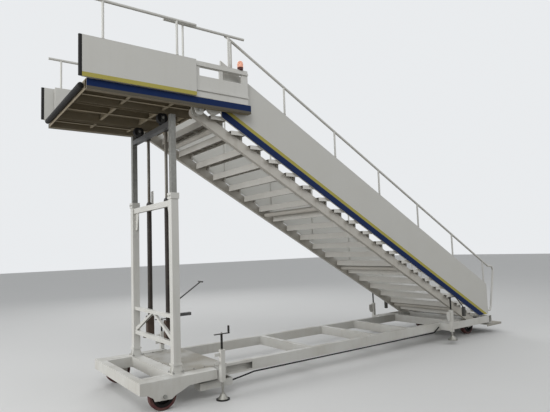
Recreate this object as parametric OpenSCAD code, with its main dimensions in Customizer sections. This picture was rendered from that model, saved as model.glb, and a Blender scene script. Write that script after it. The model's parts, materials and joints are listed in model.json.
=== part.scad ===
// Towable passenger stairs: a wheeled chassis, a stair flight hinged at its rear end,
// a level boarding platform on a hydraulic mast, sliding side screens and screw jacks.
// Millimetres, +Z up. +X runs from the platform to the foot of the stair, -Y is the
// left side of a person who climbs. The origin is under the middle of the whole.

/* [Chassis] */
// Top of the chassis frame above the ground
frame_z = 380; // [340:5:420]
// Depth of the chassis rails
rail_depth = 150; // [120:5:180]
// Width of each chassis rail
rail_width = 80; // [60:5:100]
// Distance from the outer face of a rail to the ends of the end beams
bay_w = 180; // [160:2:200]
// Wall of the chassis box sections
rail_wall = 6; // [4:1:10]
// Inset of the end beams from the outer faces of the platform arms
beam_inset = 119; // [100:1:140]
// Length of each end beam along the vehicle
beam_len = 100; // [80:5:120]
// Front face of the rear end beam, from the front of the chassis
rear_beam_x = 7550; // [7300:10:7700]
// Thickness of the deck plates
deck_t = 6; // [4:1:10]
// Rear edge of the front deck plate
deck_end_x = 1300; // [1200:10:1400]
// Front edge of the outer plates beside the foot hinges
rear_plate_x = 6200; // [6150:10:6300]
// Lower edge of those outer plates
rear_plate_z = 245; // [240:5:260]

/* [Wheels] */
// Radius of the wheels
wheel_r = 180; // [150:5:200]
// Width of the wheels over the tread
wheel_w = 84; // [60:2:100]
// Thickness of the rubber tread
tread_t = 38; // [25:1:50]
// Axle radius
axle_r = 15; // [12:0.5:20]
// Running clearance of the wheel bores on their axles, on the radius
axle_gap = 0.05; // [0.02:0.01:0.1]
// Position of the front axles from the front of the chassis
front_axle_x = 317; // [280:1:360]
// Position of the rear axles from the front of the chassis
rear_axle_x = 7270; // [7240:10:7280]
// Half length of the wheel bosses
boss_half = 46; // [40:1:50]
// Gap between a front wheel boss and the outer plate
wheel_gap = 28; // [20:1:34]
// Distance of the rear wheels from the middle plane
rear_wheel_y = 580; // [560:2:584]
// Gap between a rear wheel boss and its cheeks
cheek_gap = 6; // [5:1:10]
// Thickness of the rear wheel cheeks
cheek_t = 10; // [8:1:12]
// Thickness of the outer side plates of the chassis
side_plate_t = 12; // [8:1:16]

/* [Mast] */
// Position of the mast columns from the front of the chassis
mast_x = 560; // [500:5:620]
// Inset of the mast columns' middle from the outer face of the rails
mast_inset = 26; // [20:1:40]
// Outside width of the square outer columns
col_w = 100; // [90:2:120]
// Wall of the outer columns
col_wall = 8; // [5:1:10]
// Top of the outer columns above the ground
col_top_z = 2730; // [2600:10:2800]
// Gap between the inner tubes and the outer columns on each side
mast_gap = 5; // [4:0.5:8]
// Top of the inner tubes at rest
inner_top_z = 3800; // [3750:5:3850]
// Length of the inner tubes
inner_len = 2300; // [2100:10:2400]
// Wall of the inner tubes
inner_wall = 6; // [4:1:8]
// Position of the lift cylinders from the front of the chassis
cyl_x = 640; // [620:5:680]
// Distance of the lift cylinders from the middle plane
cyl_y = 330; // [300:2:340]
// Outside radius of the cylinder barrels
barrel_r = 35; // [30:1:42]
// Radius of the cylinder rods
rod_r = 22; // [18:1:26]
// Running clearance of the rods in their glands, on the radius
rod_gap = 0.05; // [0.02:0.01:0.1]
// Radius of the support rollers
roller_r = 75; // [60:5:85]
// Distance of the support rollers from the middle plane
roller_y = 455; // [430:5:480]
// Position of the support rollers from the front of the chassis
roller_x = 530; // [500:5:560]
// Gap left between a roller and its track at rest
roller_gap = 22; // [18:0.5:25]

/* [Stair] */
// Rise of each step
rise = 181; // [170:1:200]
// Going of each step
going = 320; // [280:1:340]
// Number of treads on the hinged flight
treads = 19; // [17:1:21]
// Depth of each tread from nosing to back
tread_d = 308; // [280:2:320]
// Gap between the side panels of the flight and the platform arms
panel_gap = 30; // [20:1:40]
// Thickness of the tread plates
tread_plate = 5; // [3:1:8]
// Depth of the front lip of a tread
nosing_h = 40; // [30:1:60]
// Depth of the rear skirt of a tread
skirt_h = 100; // [80:1:130]
// Depth of the lip at each end of a tread
end_lip_h = 58; // [40:1:70]
// Depth of the stiffeners under a tread
stiffener_h = 32; // [20:1:40]
// Depth of the stringers across the slope
stringer_d = 136; // [120:2:150]
// Width of each stringer
stringer_w = 64; // [56:2:70]
// Gap between the rails and the stringers
stringer_gap = 21; // [18:1:26]
// Play between the hinge eyes and their lugs
lug_gap = 6; // [5:1:10]
// Thickness of the hinge lugs
lug_t = 18; // [14:1:22]
// Position of the knee hinge from the front of the chassis
knee_x = 860; // [800:5:900]
// Height of the knee hinge
knee_z = 3847; // [3835:1:3855]
// Position of the foot hinge from the front of the chassis
foot_x = 7150; // [7100:5:7180]
// Radius of the foot pins
foot_pin_r = 25; // [20:1:30]
// Radius of the knee pins
knee_pin_r = 20; // [16:1:25]
// Running clearance of the hinge bores, on the radius
hinge_gap = 0.05; // [0.02:0.01:0.1]
// Radius of the tubes that tie the two stringers
tie_r = 42; // [36:1:50]
// Thickness of the side panels of the flight
panel_t = 30; // [25:1:40]
// Height of the handrail above the nosing line
handrail_h = 1176; // [1100:2:1200]
// Radius of the handrail tubes
rail_r = 20; // [16:1:25]
// Radius of the handrail posts
post_r = 16; // [12:1:20]
// Pitch of the handrail posts along the vehicle
post_pitch = 1026; // [1000:2:1050]
// Position of the first full handrail post
first_post = 2342; // [2300:2:2400]

/* [Platform] */
// Height of the platform floor
floor_z = 4000; // [3900:10:4100]
// Front edge of the platform, ahead of the chassis front
plat_front = 640; // [600:5:700]
// Rear edge of the platform floor from the front of the chassis
floor_end_x = 1016; // [980:2:1050]
// Rear end of the platform side arms
arm_end_x = 1630; // [1580:5:1680]
// Half width over the side arms
arm_half = 1055; // [1040:1:1070]
// Width of the side arms
arm_w = 90; // [70:2:100]
// Underside of the platform frame
plat_under_z = 3872; // [3860:1:3890]
// Height of the side screens above the floor
screen_h = 495; // [450:5:520]
// Height of the platform handrails above the floor
plat_rail_h = 965; // [940:5:1000]
// Radius of the front bumper roll
bumper_r = 50; // [40:1:60]

/* [Sliding screens] */
// Length of the sliding screens
slide_len = 1455; // [1400:5:1500]
// Front edge of the sliding screens, ahead of the chassis front
slide_front = 700; // [660:5:740]
// Thickness of the fixed screens
screen_t = 30; // [25:1:35]
// Inset of the fixed screens from the outer faces of the arms
screen_inset = 15; // [10:1:20]
// Depth of the guide bars
guide_d = 16; // [12:1:20]
// Gap between the guide bars and the sliding screens
slide_gap = 10; // [8:1:14]
// Thickness of the sliding screens
slide_t = 34; // [28:1:40]
// Depth of the rubber edge ahead of the sliding screens
edge_d = 40; // [30:1:60]
// Play between the runner shoes and their guide bars
shoe_gap = 0.5; // [0.2:0.1:1]

/* [Jacks] */
// Position of the front jacks from the front of the chassis
jack_front_x = 1092; // [1050:2:1150]
// Position of the rear jacks from the front of the chassis
jack_rear_x = 6150; // [6050:5:6250]
// Distance of the jacks' middle outside the ends of the beams
jack_off = 64; // [50:2:80]
// Height of the rear jack feet above the ground
jack_rear_up = 75; // [70:1:80]
// Extra height of the rear jack screws
jack_rear_more = 40; // [0:5:60]
// Outside width of the square jack tubes
jack_w = 60; // [50:2:80]
// Top of the jack tubes
jack_top_z = 640; // [600:5:680]
// Bottom of the jack tubes
jack_bottom_z = 228; // [210:2:250]
// Radius of the jack screws
screw_r = 15; // [12:0.5:20]
// Running clearance of the jack screws in their guides, on the radius
screw_gap = 0.05; // [0.02:0.01:0.1]
// Radius of the jack feet
foot_r = 90; // [70:2:100]
// Top of the jack screws
screw_top_z = 850; // [820:5:880]

/* [Rear step] */
// Top of the rear step plate
step_z = 200; // [180:5:220]
// Rear edge of the step plate from the front of the chassis
step_end_x = 8020; // [7900:10:8100]
// Front edge of the step plate
step_front_x = 7470; // [7460:10:7540]

/* [Hidden] */
$fn = 48;

mid_x = (step_end_x - slide_front - edge_d) / 2;
slope = atan(rise / going);
slope_t = rise / going;
// Height of the line through the nosings at a distance from the chassis front.
function nosing_z(x) = floor_z - (x - floor_end_x) * slope_t;
// Height of the line through the knee and foot hinges.
function hinge_z(x) = knee_z - (x - knee_x) * slope_t;
foot_z = hinge_z(foot_x);
// Height of the upper faces of the stringers.
function seat_z(x) = hinge_z(x) + (stringer_d / 2) / cos(slope);
beam_half = arm_half - beam_inset;
rail_half = beam_half - bay_w;
rail_in = rail_half - rail_width;
mast_y = rail_half - mast_inset;
wheel_y = beam_half - side_plate_t - wheel_gap - boss_half;
stringer_y = rail_half + stringer_gap + stringer_w / 2;
eye_in = stringer_y - stringer_w / 2 - 3;
eye_out = stringer_y + stringer_w / 2 + 3;
eye_r = stringer_d / 2 + 4;
tread_half = arm_half - arm_w - panel_gap - panel_t;
jack_y = beam_half + jack_off;
fix_out_y = arm_half - screen_inset;
fix_in_y = fix_out_y - screen_t;
guide_out_y = fix_out_y + guide_d;
slide_in_y = guide_out_y + slide_gap;
slide_out_y = slide_in_y + slide_t;
frame_under = frame_z - rail_depth;
track_z = roller_r + roller_gap;
track_under = plat_under_z + 33;
roller_z = track_under - roller_gap - roller_r;
cross_top = roller_z - roller_r - 14;
cross_h = 70;
panel_out = tread_half + panel_t;
inner_w = col_w - 2 * col_wall - 2 * mast_gap;

white = [0.86, 0.86, 0.84];
dark = [0.18, 0.18, 0.19];
steel = [0.55, 0.57, 0.58];
blue = [0.10, 0.20, 0.45];
rubber = [0.07, 0.07, 0.07];
maroon = [0.35, 0.10, 0.12];
orange = [0.85, 0.20, 0.08];
brown = [0.25, 0.19, 0.16];

// Moves a piece from chassis stations to the shared origin.
module placed() translate([-mid_x, 0, 0]) children();
// Draws a piece on both sides of the middle plane.
module both_sides() {
  children();
  mirror([0, 1, 0]) children();
}
module right_side() mirror([0, 1, 0]) children();
// Box between two corners.
module span(x0, x1, y0, y1, z0, z1)
  translate([x0, y0, z0]) cube([x1 - x0, y1 - y0, z1 - z0]);
// Rod along the width of the vehicle.
module rod_y(x, z, r, y0, y1)
  translate([x, y0, z]) rotate([-90, 0, 0]) cylinder(h = y1 - y0, r = r);
// Upright rod.
module rod_z(x, y, r, z0, z1)
  translate([x, y, z0]) cylinder(h = z1 - z0, r = r);
// Flat plate in the plane of travel, from outline points [x, z].
module side_plate(pts, y0, y1)
  translate([0, y1, 0]) rotate([90, 0, 0]) linear_extrude(y1 - y0) polygon(pts);
// Flat plate across the vehicle, from outline points [y, z].
module cross_plate(pts, x0, x1)
  translate([x0, 0, 0]) rotate([90, 0, 90]) linear_extrude(x1 - x0) polygon(pts);
// Straight tube between two points [x, z] at one distance from the middle plane.
module bar(p, q, y, r) {
  dx = q[0] - p[0];
  dz = q[1] - p[1];
  translate([p[0], y, p[1]]) rotate([0, atan2(dx, dz), 0])
    cylinder(h = norm([dx, dz]), r = r);
}
// Tube along a list of points with slightly fuller welded knees.
module run(pts, y, r) {
  for (i = [0 : len(pts) - 2]) bar(pts[i], pts[i + 1], y, r);
  if (len(pts) > 2)
    for (i = [1 : len(pts) - 2]) translate([pts[i][0], y, pts[i][1]]) sphere(r = r + 0.6);
}
// Hollow box section along the vehicle.
module box_x(x0, x1, y0, y1, z0, z1, t) {
  difference() {
    span(x0, x1, y0, y1, z0, z1);
    span(x0 - 1, x1 + 1, y0 + t, y1 - t, z0 + t, z1 - t);
  }
}
// Hollow box section across the vehicle.
module box_y(x0, x1, y0, y1, z0, z1, t) {
  difference() {
    span(x0, x1, y0, y1, z0, z1);
    span(x0 + t, x1 - t, y0 - 1, y1 + 1, z0 + t, z1 - t);
  }
}
// Upright hollow square section.
module box_z(x, y, w, t, z0, z1) {
  difference() {
    span(x - w / 2, x + w / 2, y - w / 2, y + w / 2, z0, z1);
    span(x - w / 2 + t, x + w / 2 - t, y - w / 2 + t, y + w / 2 - t, z0 - 1, z1 + 1);
  }
}

// Stations of the cross members: [front face, width, underside].
cross_members = [
  [480, 160, frame_under],
  [2830, 80, frame_under],
  [4290, 80, frame_under],
  [5180, 80, frame_under],
  [6480, 80, frame_under],
  [6990, 80, frame_under]
];

// Rails, end beams and cross members.
module chassis_frame() {
  color(white) placed() {
    difference() {
      union() {
        both_sides() box_x(beam_len, rear_beam_x, rail_in, rail_half, frame_under, frame_z,
                           rail_wall);
        box_y(0, beam_len, side_plate_t - beam_half, beam_half - side_plate_t,
              frame_z - 138, frame_z + 4, rail_wall);
        box_y(rear_beam_x, rear_beam_x + beam_len, -beam_half, beam_half,
              frame_under, frame_z, rail_wall);
      }
      // Open pocket in the left rail behind the front jack.
      span(1290, 1720, -rail_half - 1, -rail_half + rail_wall + 1, 256, 346);
    }
    for (m = cross_members)
      box_y(m[0], m[0] + m[1], -rail_in, rail_in, m[2], frame_z, rail_wall);
    both_sides() span(rear_beam_x - 12, rear_beam_x, rail_in + 10, rail_half - 10,
                      frame_under + 10, frame_z - 10);
  }
}

// Deep outer plates beside the front wheels with the cover above and the inner cheek,
// and the shallower plates outside the foot hinges.
module side_plates() {
  cover_x = jack_front_x - jack_w / 2 - 6;
  outline = [[0, frame_z + 4], [0, frame_z - 138], [beam_len, 226], [171, 182], [189, 142],
             [409, 132], [459, 168], [655, 254], [cover_x, 262], [cover_x, frame_z],
             [beam_len, frame_z], [beam_len, frame_z + 4]];
  rear = [[rear_plate_x, frame_z], [rear_plate_x, rear_plate_z + 40],
          [rear_plate_x + 70, rear_plate_z], [rear_beam_x, rear_plate_z],
          [rear_beam_x, frame_z]];
  cover_end = rear_plate_x + 360;
  color(white) placed() both_sides() {
    difference() {
      side_plate(outline, beam_half - side_plate_t, beam_half);
      rod_y(front_axle_x, wheel_r, axle_r, beam_half - 30, beam_half + 30);
    }
    difference() {
      side_plate([[190, frame_under + 60], [200, 142], [430, 142], [440, frame_under + 60]],
                 rail_half, rail_half + side_plate_t);
      rod_y(front_axle_x, wheel_r, axle_r, rail_half - 1, rail_half + 30);
    }
    span(beam_len, cover_x, rail_half, beam_half - side_plate_t, frame_z - 8, frame_z);
    span(cover_x - 8, cover_x, rail_half, beam_half - side_plate_t, 262, frame_z - 8);
    side_plate(rear, beam_half - side_plate_t, beam_half);
    span(rear_plate_x, rear_plate_x + 10, rail_half, beam_half - side_plate_t,
         rear_plate_z + 40, frame_z);
    span(rear_plate_x, cover_end, rail_half, beam_half - side_plate_t, frame_z - 8, frame_z);
  }
}

// Plates on the rails: one between the mast and the front jacks, one under the foot of the flight.
rear_deck_x = floor_end_x + treads * going + 16;
module front_deck() {
  color(white) placed() {
    span(mast_x + 86, deck_end_x, -rail_half, rail_half, frame_z, frame_z + deck_t);
    span(rear_deck_x, rear_beam_x + beam_len, -rail_half, rail_half, frame_z,
         frame_z + deck_t);
  }
}

// Cheeks that hold the rear wheels ahead of the rear end beam, with the plate above.
module rear_wheel_mounts() {
  front = rear_beam_x;
  x = rear_axle_x;
  inner = rear_wheel_y - boss_half - cheek_gap;
  outer = rear_wheel_y + boss_half + cheek_gap;
  cheek = [[front, frame_z - 8], [front, frame_under + 6], [x + 50, wheel_r - 40],
           [x - 50, wheel_r - 40], [x - 60, wheel_r + 50], [x + 80, frame_z - 8]];
  color(white) placed() both_sides() {
    difference() {
      union() {
        side_plate(cheek, inner - cheek_t, inner);
        side_plate(cheek, outer, outer + cheek_t);
      }
      rod_y(x, wheel_r, axle_r, inner - cheek_t - 1, outer + cheek_t + 1);
    }
    span(x + 80, front, inner, outer, frame_z - 14, frame_z - 8);
  }
}

// Axle bolts of the four wheels.
module axles() {
  inner = rear_wheel_y - boss_half - cheek_gap - cheek_t;
  outer = rear_wheel_y + boss_half + cheek_gap + cheek_t;
  color(steel) placed() both_sides() {
    rod_y(front_axle_x, wheel_r, axle_r, rail_half, beam_half + 14);
    rod_y(front_axle_x, wheel_r, axle_r + 9, beam_half, beam_half + 12);
    rod_y(rear_axle_x, wheel_r, axle_r, inner - 14, outer + 14);
    rod_y(rear_axle_x, wheel_r, axle_r + 9, inner - 12, inner);
    rod_y(rear_axle_x, wheel_r, axle_r + 9, outer, outer + 12);
  }
}

// Hub with spokeless dished web and a long boss.
module hub(x, y) {
  translate([x, y, wheel_r]) rotate([-90, 0, 0]) rotate_extrude($fn = 96) polygon([
    [axle_r + axle_gap, -boss_half], [38, -boss_half], [38, -20], [96, -14],
    [104, -wheel_w / 2],
    [wheel_r - tread_t, -wheel_w / 2], [wheel_r - tread_t, wheel_w / 2],
    [104, wheel_w / 2], [96, 14], [38, 20], [38, boss_half],
    [axle_r + axle_gap, boss_half]]);
}
// Solid tread with rounded shoulders.
module tyre(x, y) {
  translate([x, y, wheel_r]) rotate([-90, 0, 0]) rotate_extrude($fn = 96) polygon([
    [wheel_r - tread_t, -wheel_w / 2], [wheel_r - 10, -wheel_w / 2],
    [wheel_r - 2, -wheel_w / 2 + 5], [wheel_r, -wheel_w / 2 + 14],
    [wheel_r, wheel_w / 2 - 14], [wheel_r - 2, wheel_w / 2 - 5],
    [wheel_r - 10, wheel_w / 2], [wheel_r - tread_t, wheel_w / 2]]);
}
module wheel_front_left() color(dark) placed() right_side() hub(front_axle_x, wheel_y);
module wheel_front_right() color(dark) placed() hub(front_axle_x, wheel_y);
module wheel_rear_left() color(dark) placed() right_side() hub(rear_axle_x, rear_wheel_y);
module wheel_rear_right() color(dark) placed() hub(rear_axle_x, rear_wheel_y);
module tyre_front_left() color(maroon) placed() right_side() tyre(front_axle_x, wheel_y);
module tyre_front_right() color(maroon) placed() tyre(front_axle_x, wheel_y);
module tyre_rear_left() color(maroon) placed() right_side() tyre(rear_axle_x, rear_wheel_y);
module tyre_rear_right() color(maroon) placed() tyre(rear_axle_x, rear_wheel_y);

// Underside of the upper brace, of the top beam, and the guard behind the rod.
brace_z = 1075;
beam_under = col_top_z - 170;
guard_x = cyl_x + barrel_r + 14;

// Outer columns with flanged feet, gussets and top collars.
module mast_columns() {
  color(white) placed() both_sides() {
    box_z(mast_x, mast_y, col_w, col_wall, frame_z + 12, col_top_z);
    difference() {
      union() {
        span(mast_x - 80, mast_x + 80, mast_y - 80, mast_y + 80, frame_z, frame_z + 12);
        span(mast_x - 64, mast_x + 64, mast_y - 64, mast_y + 64, 484, 508);
        span(mast_x - 60, mast_x + 60, mast_y - 60, mast_y + 60, col_top_z - 80, col_top_z);
      }
      span(mast_x - col_w / 2, mast_x + col_w / 2, mast_y - col_w / 2, mast_y + col_w / 2,
           frame_z + 12, col_top_z + 1);
    }
    for (s = [-1, 1]) {
      translate([mast_x, mast_y + s * 40 - 4, 0]) for (k = [0, 1]) mirror([k, 0, 0])
        side_plate([[col_w / 2, frame_z + 12], [76, frame_z + 12], [col_w / 2, 480]], 0, 8);
    }
  }
}

// Cross tubes, diagonals and the plate of the lift cylinders.
module mast_bracing() {
  in_y = mast_y - col_w / 2;
  color(white) placed() {
    span(mast_x - 25, mast_x + 25, -in_y, in_y, brace_z, brace_z + 50);
    span(mast_x - 25, mast_x + 25, -in_y, in_y, 714, 774);
    span(mast_x - 30, mast_x + 30, -in_y, in_y, beam_under, col_top_z - 90);
    both_sides() {
      cross_plate([[20, brace_z], [80, brace_z], [in_y, 815], [in_y, 774], [in_y - 40, 774]],
                  mast_x - 18, mast_x + 18);
      cross_plate([[in_y - 130, beam_under], [in_y, beam_under], [in_y, beam_under - 260],
                   [in_y - 60, beam_under - 260]], mast_x - 4, mast_x + 4);
    }
    // Guard behind the right-hand rod.
    span(guard_x, guard_x + 6, cyl_y - 45, cyl_y + 51, beam_under + 20, 2880);
    span(mast_x + 30, guard_x, cyl_y + 45, cyl_y + 51, beam_under + 20, beam_under + 76);
  }
}

// Barrels of the two lift cylinders with their foot brackets and glands.
module lift_barrels() {
  color(brown) placed() both_sides() {
    difference() {
      union() {
        rod_z(cyl_x, cyl_y, barrel_r, 714, 2640);
        rod_z(cyl_x, cyl_y, barrel_r + 6, 2640, 2680);
        span(mast_x + 25, cyl_x + 42, cyl_y - 42, cyl_y + 42, 714, 1010);
      }
      rod_z(cyl_x, cyl_y, 28, 734, 2630);
      rod_z(cyl_x, cyl_y, rod_r + rod_gap, 2620, 2690);
    }
    span(mast_x - 25, cyl_x + 42, cyl_y - 42, cyl_y + 42, 700, 714);
    span(mast_x + 30, cyl_x - barrel_r + 4, cyl_y - 20, cyl_y - 8, beam_under + 10,
         beam_under + 70);
  }
}

// Hand pump behind the left column: body, post, lever and cross grip.
module hand_pump() {
  y = mast_y - 170;
  color(dark) placed() {
    span(mast_x + 25, mast_x + 300, -y - 30, -y + 30, brace_z + 3, brace_z + 43);
    rod_z(mast_x + 130, -y, 14, brace_z + 43, brace_z + 335);
    translate([mast_x + 130, -y, brace_z + 225])
      rotate([0, 57, 0]) cylinder(h = 400, r = 9);
    rod_y(mast_x + 130 + 400 * sin(57), brace_z + 225 + 400 * cos(57), 11, -y - 60, -y + 60);
  }
}

// Square jack tubes on two arms each, with ears for the crank.
module jack_tube(x) {
  box_z(x, jack_y, jack_w, 5, jack_bottom_z, jack_top_z - 12);
  difference() {
    span(x - jack_w / 2 - 3, x + jack_w / 2 + 3, jack_y - jack_w / 2 - 3,
         jack_y + jack_w / 2 + 3, jack_top_z - 12, jack_top_z);
    rod_z(x, jack_y, screw_r + screw_gap, jack_top_z - 20, jack_top_z + 1);
  }
  for (s = [-1, 1])
    span(x + s * 20 - 5, x + s * 20 + 5, rail_half, jack_y - jack_w / 2, frame_under + 12,
         frame_z - 6);
}
module jack_tubes() {
  x = jack_rear_x - jack_w / 2;
  color(white) placed() both_sides() {
    jack_tube(jack_front_x);
    jack_tube(jack_rear_x);
    side_plate([[x, 440], [x, 610], [x - 110, 610], [x - 110, 500], [x - 70, 440]],
               jack_y - 4, jack_y + 4);
    for (z = [455, 560])
      span(jack_front_x - jack_w / 2 - 80, jack_front_x - jack_w / 2, jack_y - 4, jack_y + 4,
           z, z + 40);
  }
}

// Screw with its round foot.
module jack_screw(x, up, top) {
  translate([x, jack_y, 0]) {
    translate([0, 0, up + 60]) cylinder(h = top - up - 60, r = screw_r);
    translate([0, 0, up]) cylinder(h = 14, r = foot_r);
    translate([0, 0, up + 14]) cylinder(h = 66, r1 = foot_r - 22, r2 = screw_r + 12);
  }
}
// Front screw with a flat crank and an upright grip.
module jack_screw_front() {
  jack_screw(jack_front_x, 0, screw_top_z);
  translate([jack_front_x, jack_y, 0]) {
    translate([-110, -12, screw_top_z - 12]) cube([230, 24, 12]);
    translate([108, 0, screw_top_z]) cylinder(h = 90, r = 10);
  }
}
// Rear screw with a crank that folds down to a hanging grip.
module jack_screw_rear() {
  top = screw_top_z + jack_rear_more;
  jack_screw(jack_rear_x, jack_rear_up, top);
  translate([jack_rear_x, jack_y, 0]) {
    translate([-50, -12, top - 12]) cube([230, 24, 12]);
    bar([170, top - 8], [420, 650], 0, 9);
    translate([420, 0, 480]) cylinder(h = 178, r = 36);
  }
}
module jack_screw_front_left() color(steel) placed() right_side() jack_screw_front();
module jack_screw_front_right() color(steel) placed() jack_screw_front();
module jack_screw_rear_left() color(steel) placed() right_side() jack_screw_rear();
module jack_screw_rear_right() color(steel) placed() jack_screw_rear();

// Open tray hung below the left rail.
module tool_tray() {
  color(white) placed() {
    difference() {
      span(830, 1320, -rail_half - 114, -rail_half + 60, 128, 222);
      span(834, 1316, -rail_half - 110, -rail_half + 56, 132, 230);
    }
    for (x = [890, 1230])
      span(x, x + 30, -rail_half + 46, -rail_half + 60, 222, frame_under);
  }
}

// Hose below the left rail, from the tray to the rear jack.
module service_hose() {
  color(rubber) placed()
    run([[1321, 150], [1500, 172], [1740, 209], [5900, 214], [6060, 300]],
        -rail_half - 11.5, 10.9);
}

// Step plate behind and below the rear end beam.
module rear_step() {
  color(white) placed() {
    span(step_front_x, step_end_x, -beam_half, beam_half, step_z - 6, step_z);
    span(step_end_x - 6, step_end_x, -beam_half, beam_half, step_z - 40, step_z - 6);
    both_sides() {
      span(step_front_x, step_end_x - 6, beam_half - 6, beam_half, step_z - 40, step_z - 6);
      for (y = [0, beam_half / 3, beam_half * 2 / 3])
        span(step_front_x, step_end_x - 6, y - 4, y + 4, step_z - 34, step_z - 6);
      span(7490, 7540, rail_in + 10, rail_half - 10, step_z, frame_under);
      span(7580, 7630, rail_in + 10, rail_half - 10, step_z, frame_under);
    }
  }
}

// Pins between the rails and the outer lugs, which stand on cross ribs behind the eyes.
module foot_hinges() {
  rib_x = foot_x + eye_r + 36;
  lug_y = eye_out + lug_gap;
  color(steel) placed() both_sides() {
    rod_y(foot_x, foot_z, foot_pin_r, rail_half, lug_y + lug_t + 12);
    rod_y(foot_x, foot_z, foot_pin_r + 14, rail_half, eye_in - lug_gap);
    side_plate([[foot_x - 40, foot_z - 42], [rib_x + 4, rear_plate_z], [rib_x + 4, frame_z - 6],
                [foot_x + 20, foot_z + 52], [foot_x - 40, foot_z + 42]], lug_y, lug_y + lug_t);
    span(rib_x, rib_x + 12, rail_half, beam_half - side_plate_t, rear_plate_z, frame_z - 6);
  }
}

// Inner mast tubes.
module inner_tubes() {
  color(steel) placed() both_sides() {
    box_z(mast_x, mast_y, inner_w, inner_wall, inner_top_z - inner_len, inner_top_z - 8);
    span(mast_x - inner_w / 2, mast_x + inner_w / 2, mast_y - inner_w / 2,
         mast_y + inner_w / 2, inner_top_z - 8, inner_top_z);
  }
}

// Beam between the inner tubes with roller forks and rod lugs.
module crosshead() {
  in_y = mast_y - inner_w / 2;
  color(steel) placed() {
    span(mast_x - 35, mast_x + 35, -in_y, in_y, cross_top - cross_h, cross_top);
    both_sides() {
      span(mast_x + 35, cyl_x + 26, cyl_y - 30, cyl_y + 30, cross_top - 60, cross_top - 14);
      for (s = [-1, 1])
        translate([0, roller_y + s * 46 - 4, 0]) difference() {
          side_plate([[roller_x - 28, cross_top], [roller_x + 28, cross_top],
                      [roller_x + 24, roller_z + 34], [roller_x - 24, roller_z + 34]], 0, 8);
          rod_y(roller_x, roller_z, 12, -1, 9);
        }
    }
  }
}

// Support rollers with their axles.
module rollers() {
  color(rubber) placed() both_sides() {
    rod_y(roller_x, roller_z, roller_r, roller_y - 35, roller_y + 35);
    rod_y(roller_x, roller_z, 12, roller_y - 54, roller_y + 54);
  }
}

// Rods of the lift cylinders.
module lift_rods() {
  color(steel) placed() both_sides() {
    rod_z(cyl_x, cyl_y, rod_r, 1660, cross_top - 60);
    rod_z(cyl_x, cyl_y, 27, 1640, 1660);
  }
}

// Stations of the tubes that tie the stringers.
ties = [for (i = [0, 6, 12, 17]) floor_end_x + going * (i + 1) - tread_d + 160];

// Two stringers with an eye at each end and the tubes between them.
module stringers() {
  y0 = stringer_y - stringer_w / 2;
  color(white) placed() difference() {
    union() {
      both_sides() {
        translate([knee_x, y0, knee_z]) rotate([0, slope, 0])
          translate([30, 0, -stringer_d / 2])
            cube([(foot_x - knee_x) / cos(slope) - 60, stringer_w, stringer_d]);
        rod_y(knee_x, knee_z, eye_r, eye_in, eye_out);
        rod_y(foot_x, foot_z, eye_r, eye_in, eye_out);
      }
      for (x = ties) rod_y(x, hinge_z(x), tie_r, -y0 - 10, y0 + 10);
    }
    both_sides() {
      rod_y(knee_x, knee_z, knee_pin_r + hinge_gap, eye_in - 5, eye_out + 5);
      rod_y(foot_x, foot_z, foot_pin_r + hinge_gap, eye_in - 5, eye_out + 5);
    }
  }
}

// The first tread stops short of the rollers in the lowest position.
first_tread_short = 16;
// Folded tread pans: a plate with a lip in front, a skirt between the stringers behind and
// a lip at each end. Over the stringers the plate starts where their slope lets it.
module tread_pan(k) {
  x = floor_end_x + k * going;
  z = floor_z - k * rise;
  back = x - tread_d + (k == 1 ? first_tread_short : 0);
  y_in = stringer_y - stringer_w / 2 - 5;
  over = x - (floor_z - tread_plate - 3 - seat_z(floor_end_x)) / slope_t;
  span(back, x, -y_in, y_in, z - tread_plate, z);
  span(x - 4, x, -tread_half, tread_half, z - nosing_h, z - tread_plate);
  span(back, back + 4, -y_in, y_in, z - skirt_h, z - tread_plate);
  span(back + 4, back + 24, -y_in, y_in, z - skirt_h, z - skirt_h + 4);
  both_sides() {
    span(over, x, y_in, tread_half, z - tread_plate, z);
    span(over, x - 4, tread_half - 4, tread_half, z - end_lip_h, z - tread_plate);
    for (y = [0, y_in / 2])
      span(back + 24, x - 4, y - 3, y + 3, z - stiffener_h, z - tread_plate);
  }
}
module stair_treads() color(white) placed() for (k = [1 : treads]) tread_pan(k);

// Brackets between the stringers and the treads: a wedge plate and an upright under the nosing.
module tread_brackets() {
  color(white) placed() for (k = [1 : treads]) {
    x = floor_end_x + k * going;
    z = floor_z - k * rise - tread_plate;
    both_sides() {
      side_plate([[x - 262, z], [x - 80, z], [x - 80, seat_z(x - 80)],
                  [x - 262, seat_z(x - 262)]], stringer_y - 4, stringer_y + 4);
      side_plate([[x - 80, z], [x - 44, z], [x - 44, seat_z(x - 44)],
                  [x - 80, seat_z(x - 80)]], stringer_y - 20, stringer_y + 20);
    }
  }
}

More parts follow.
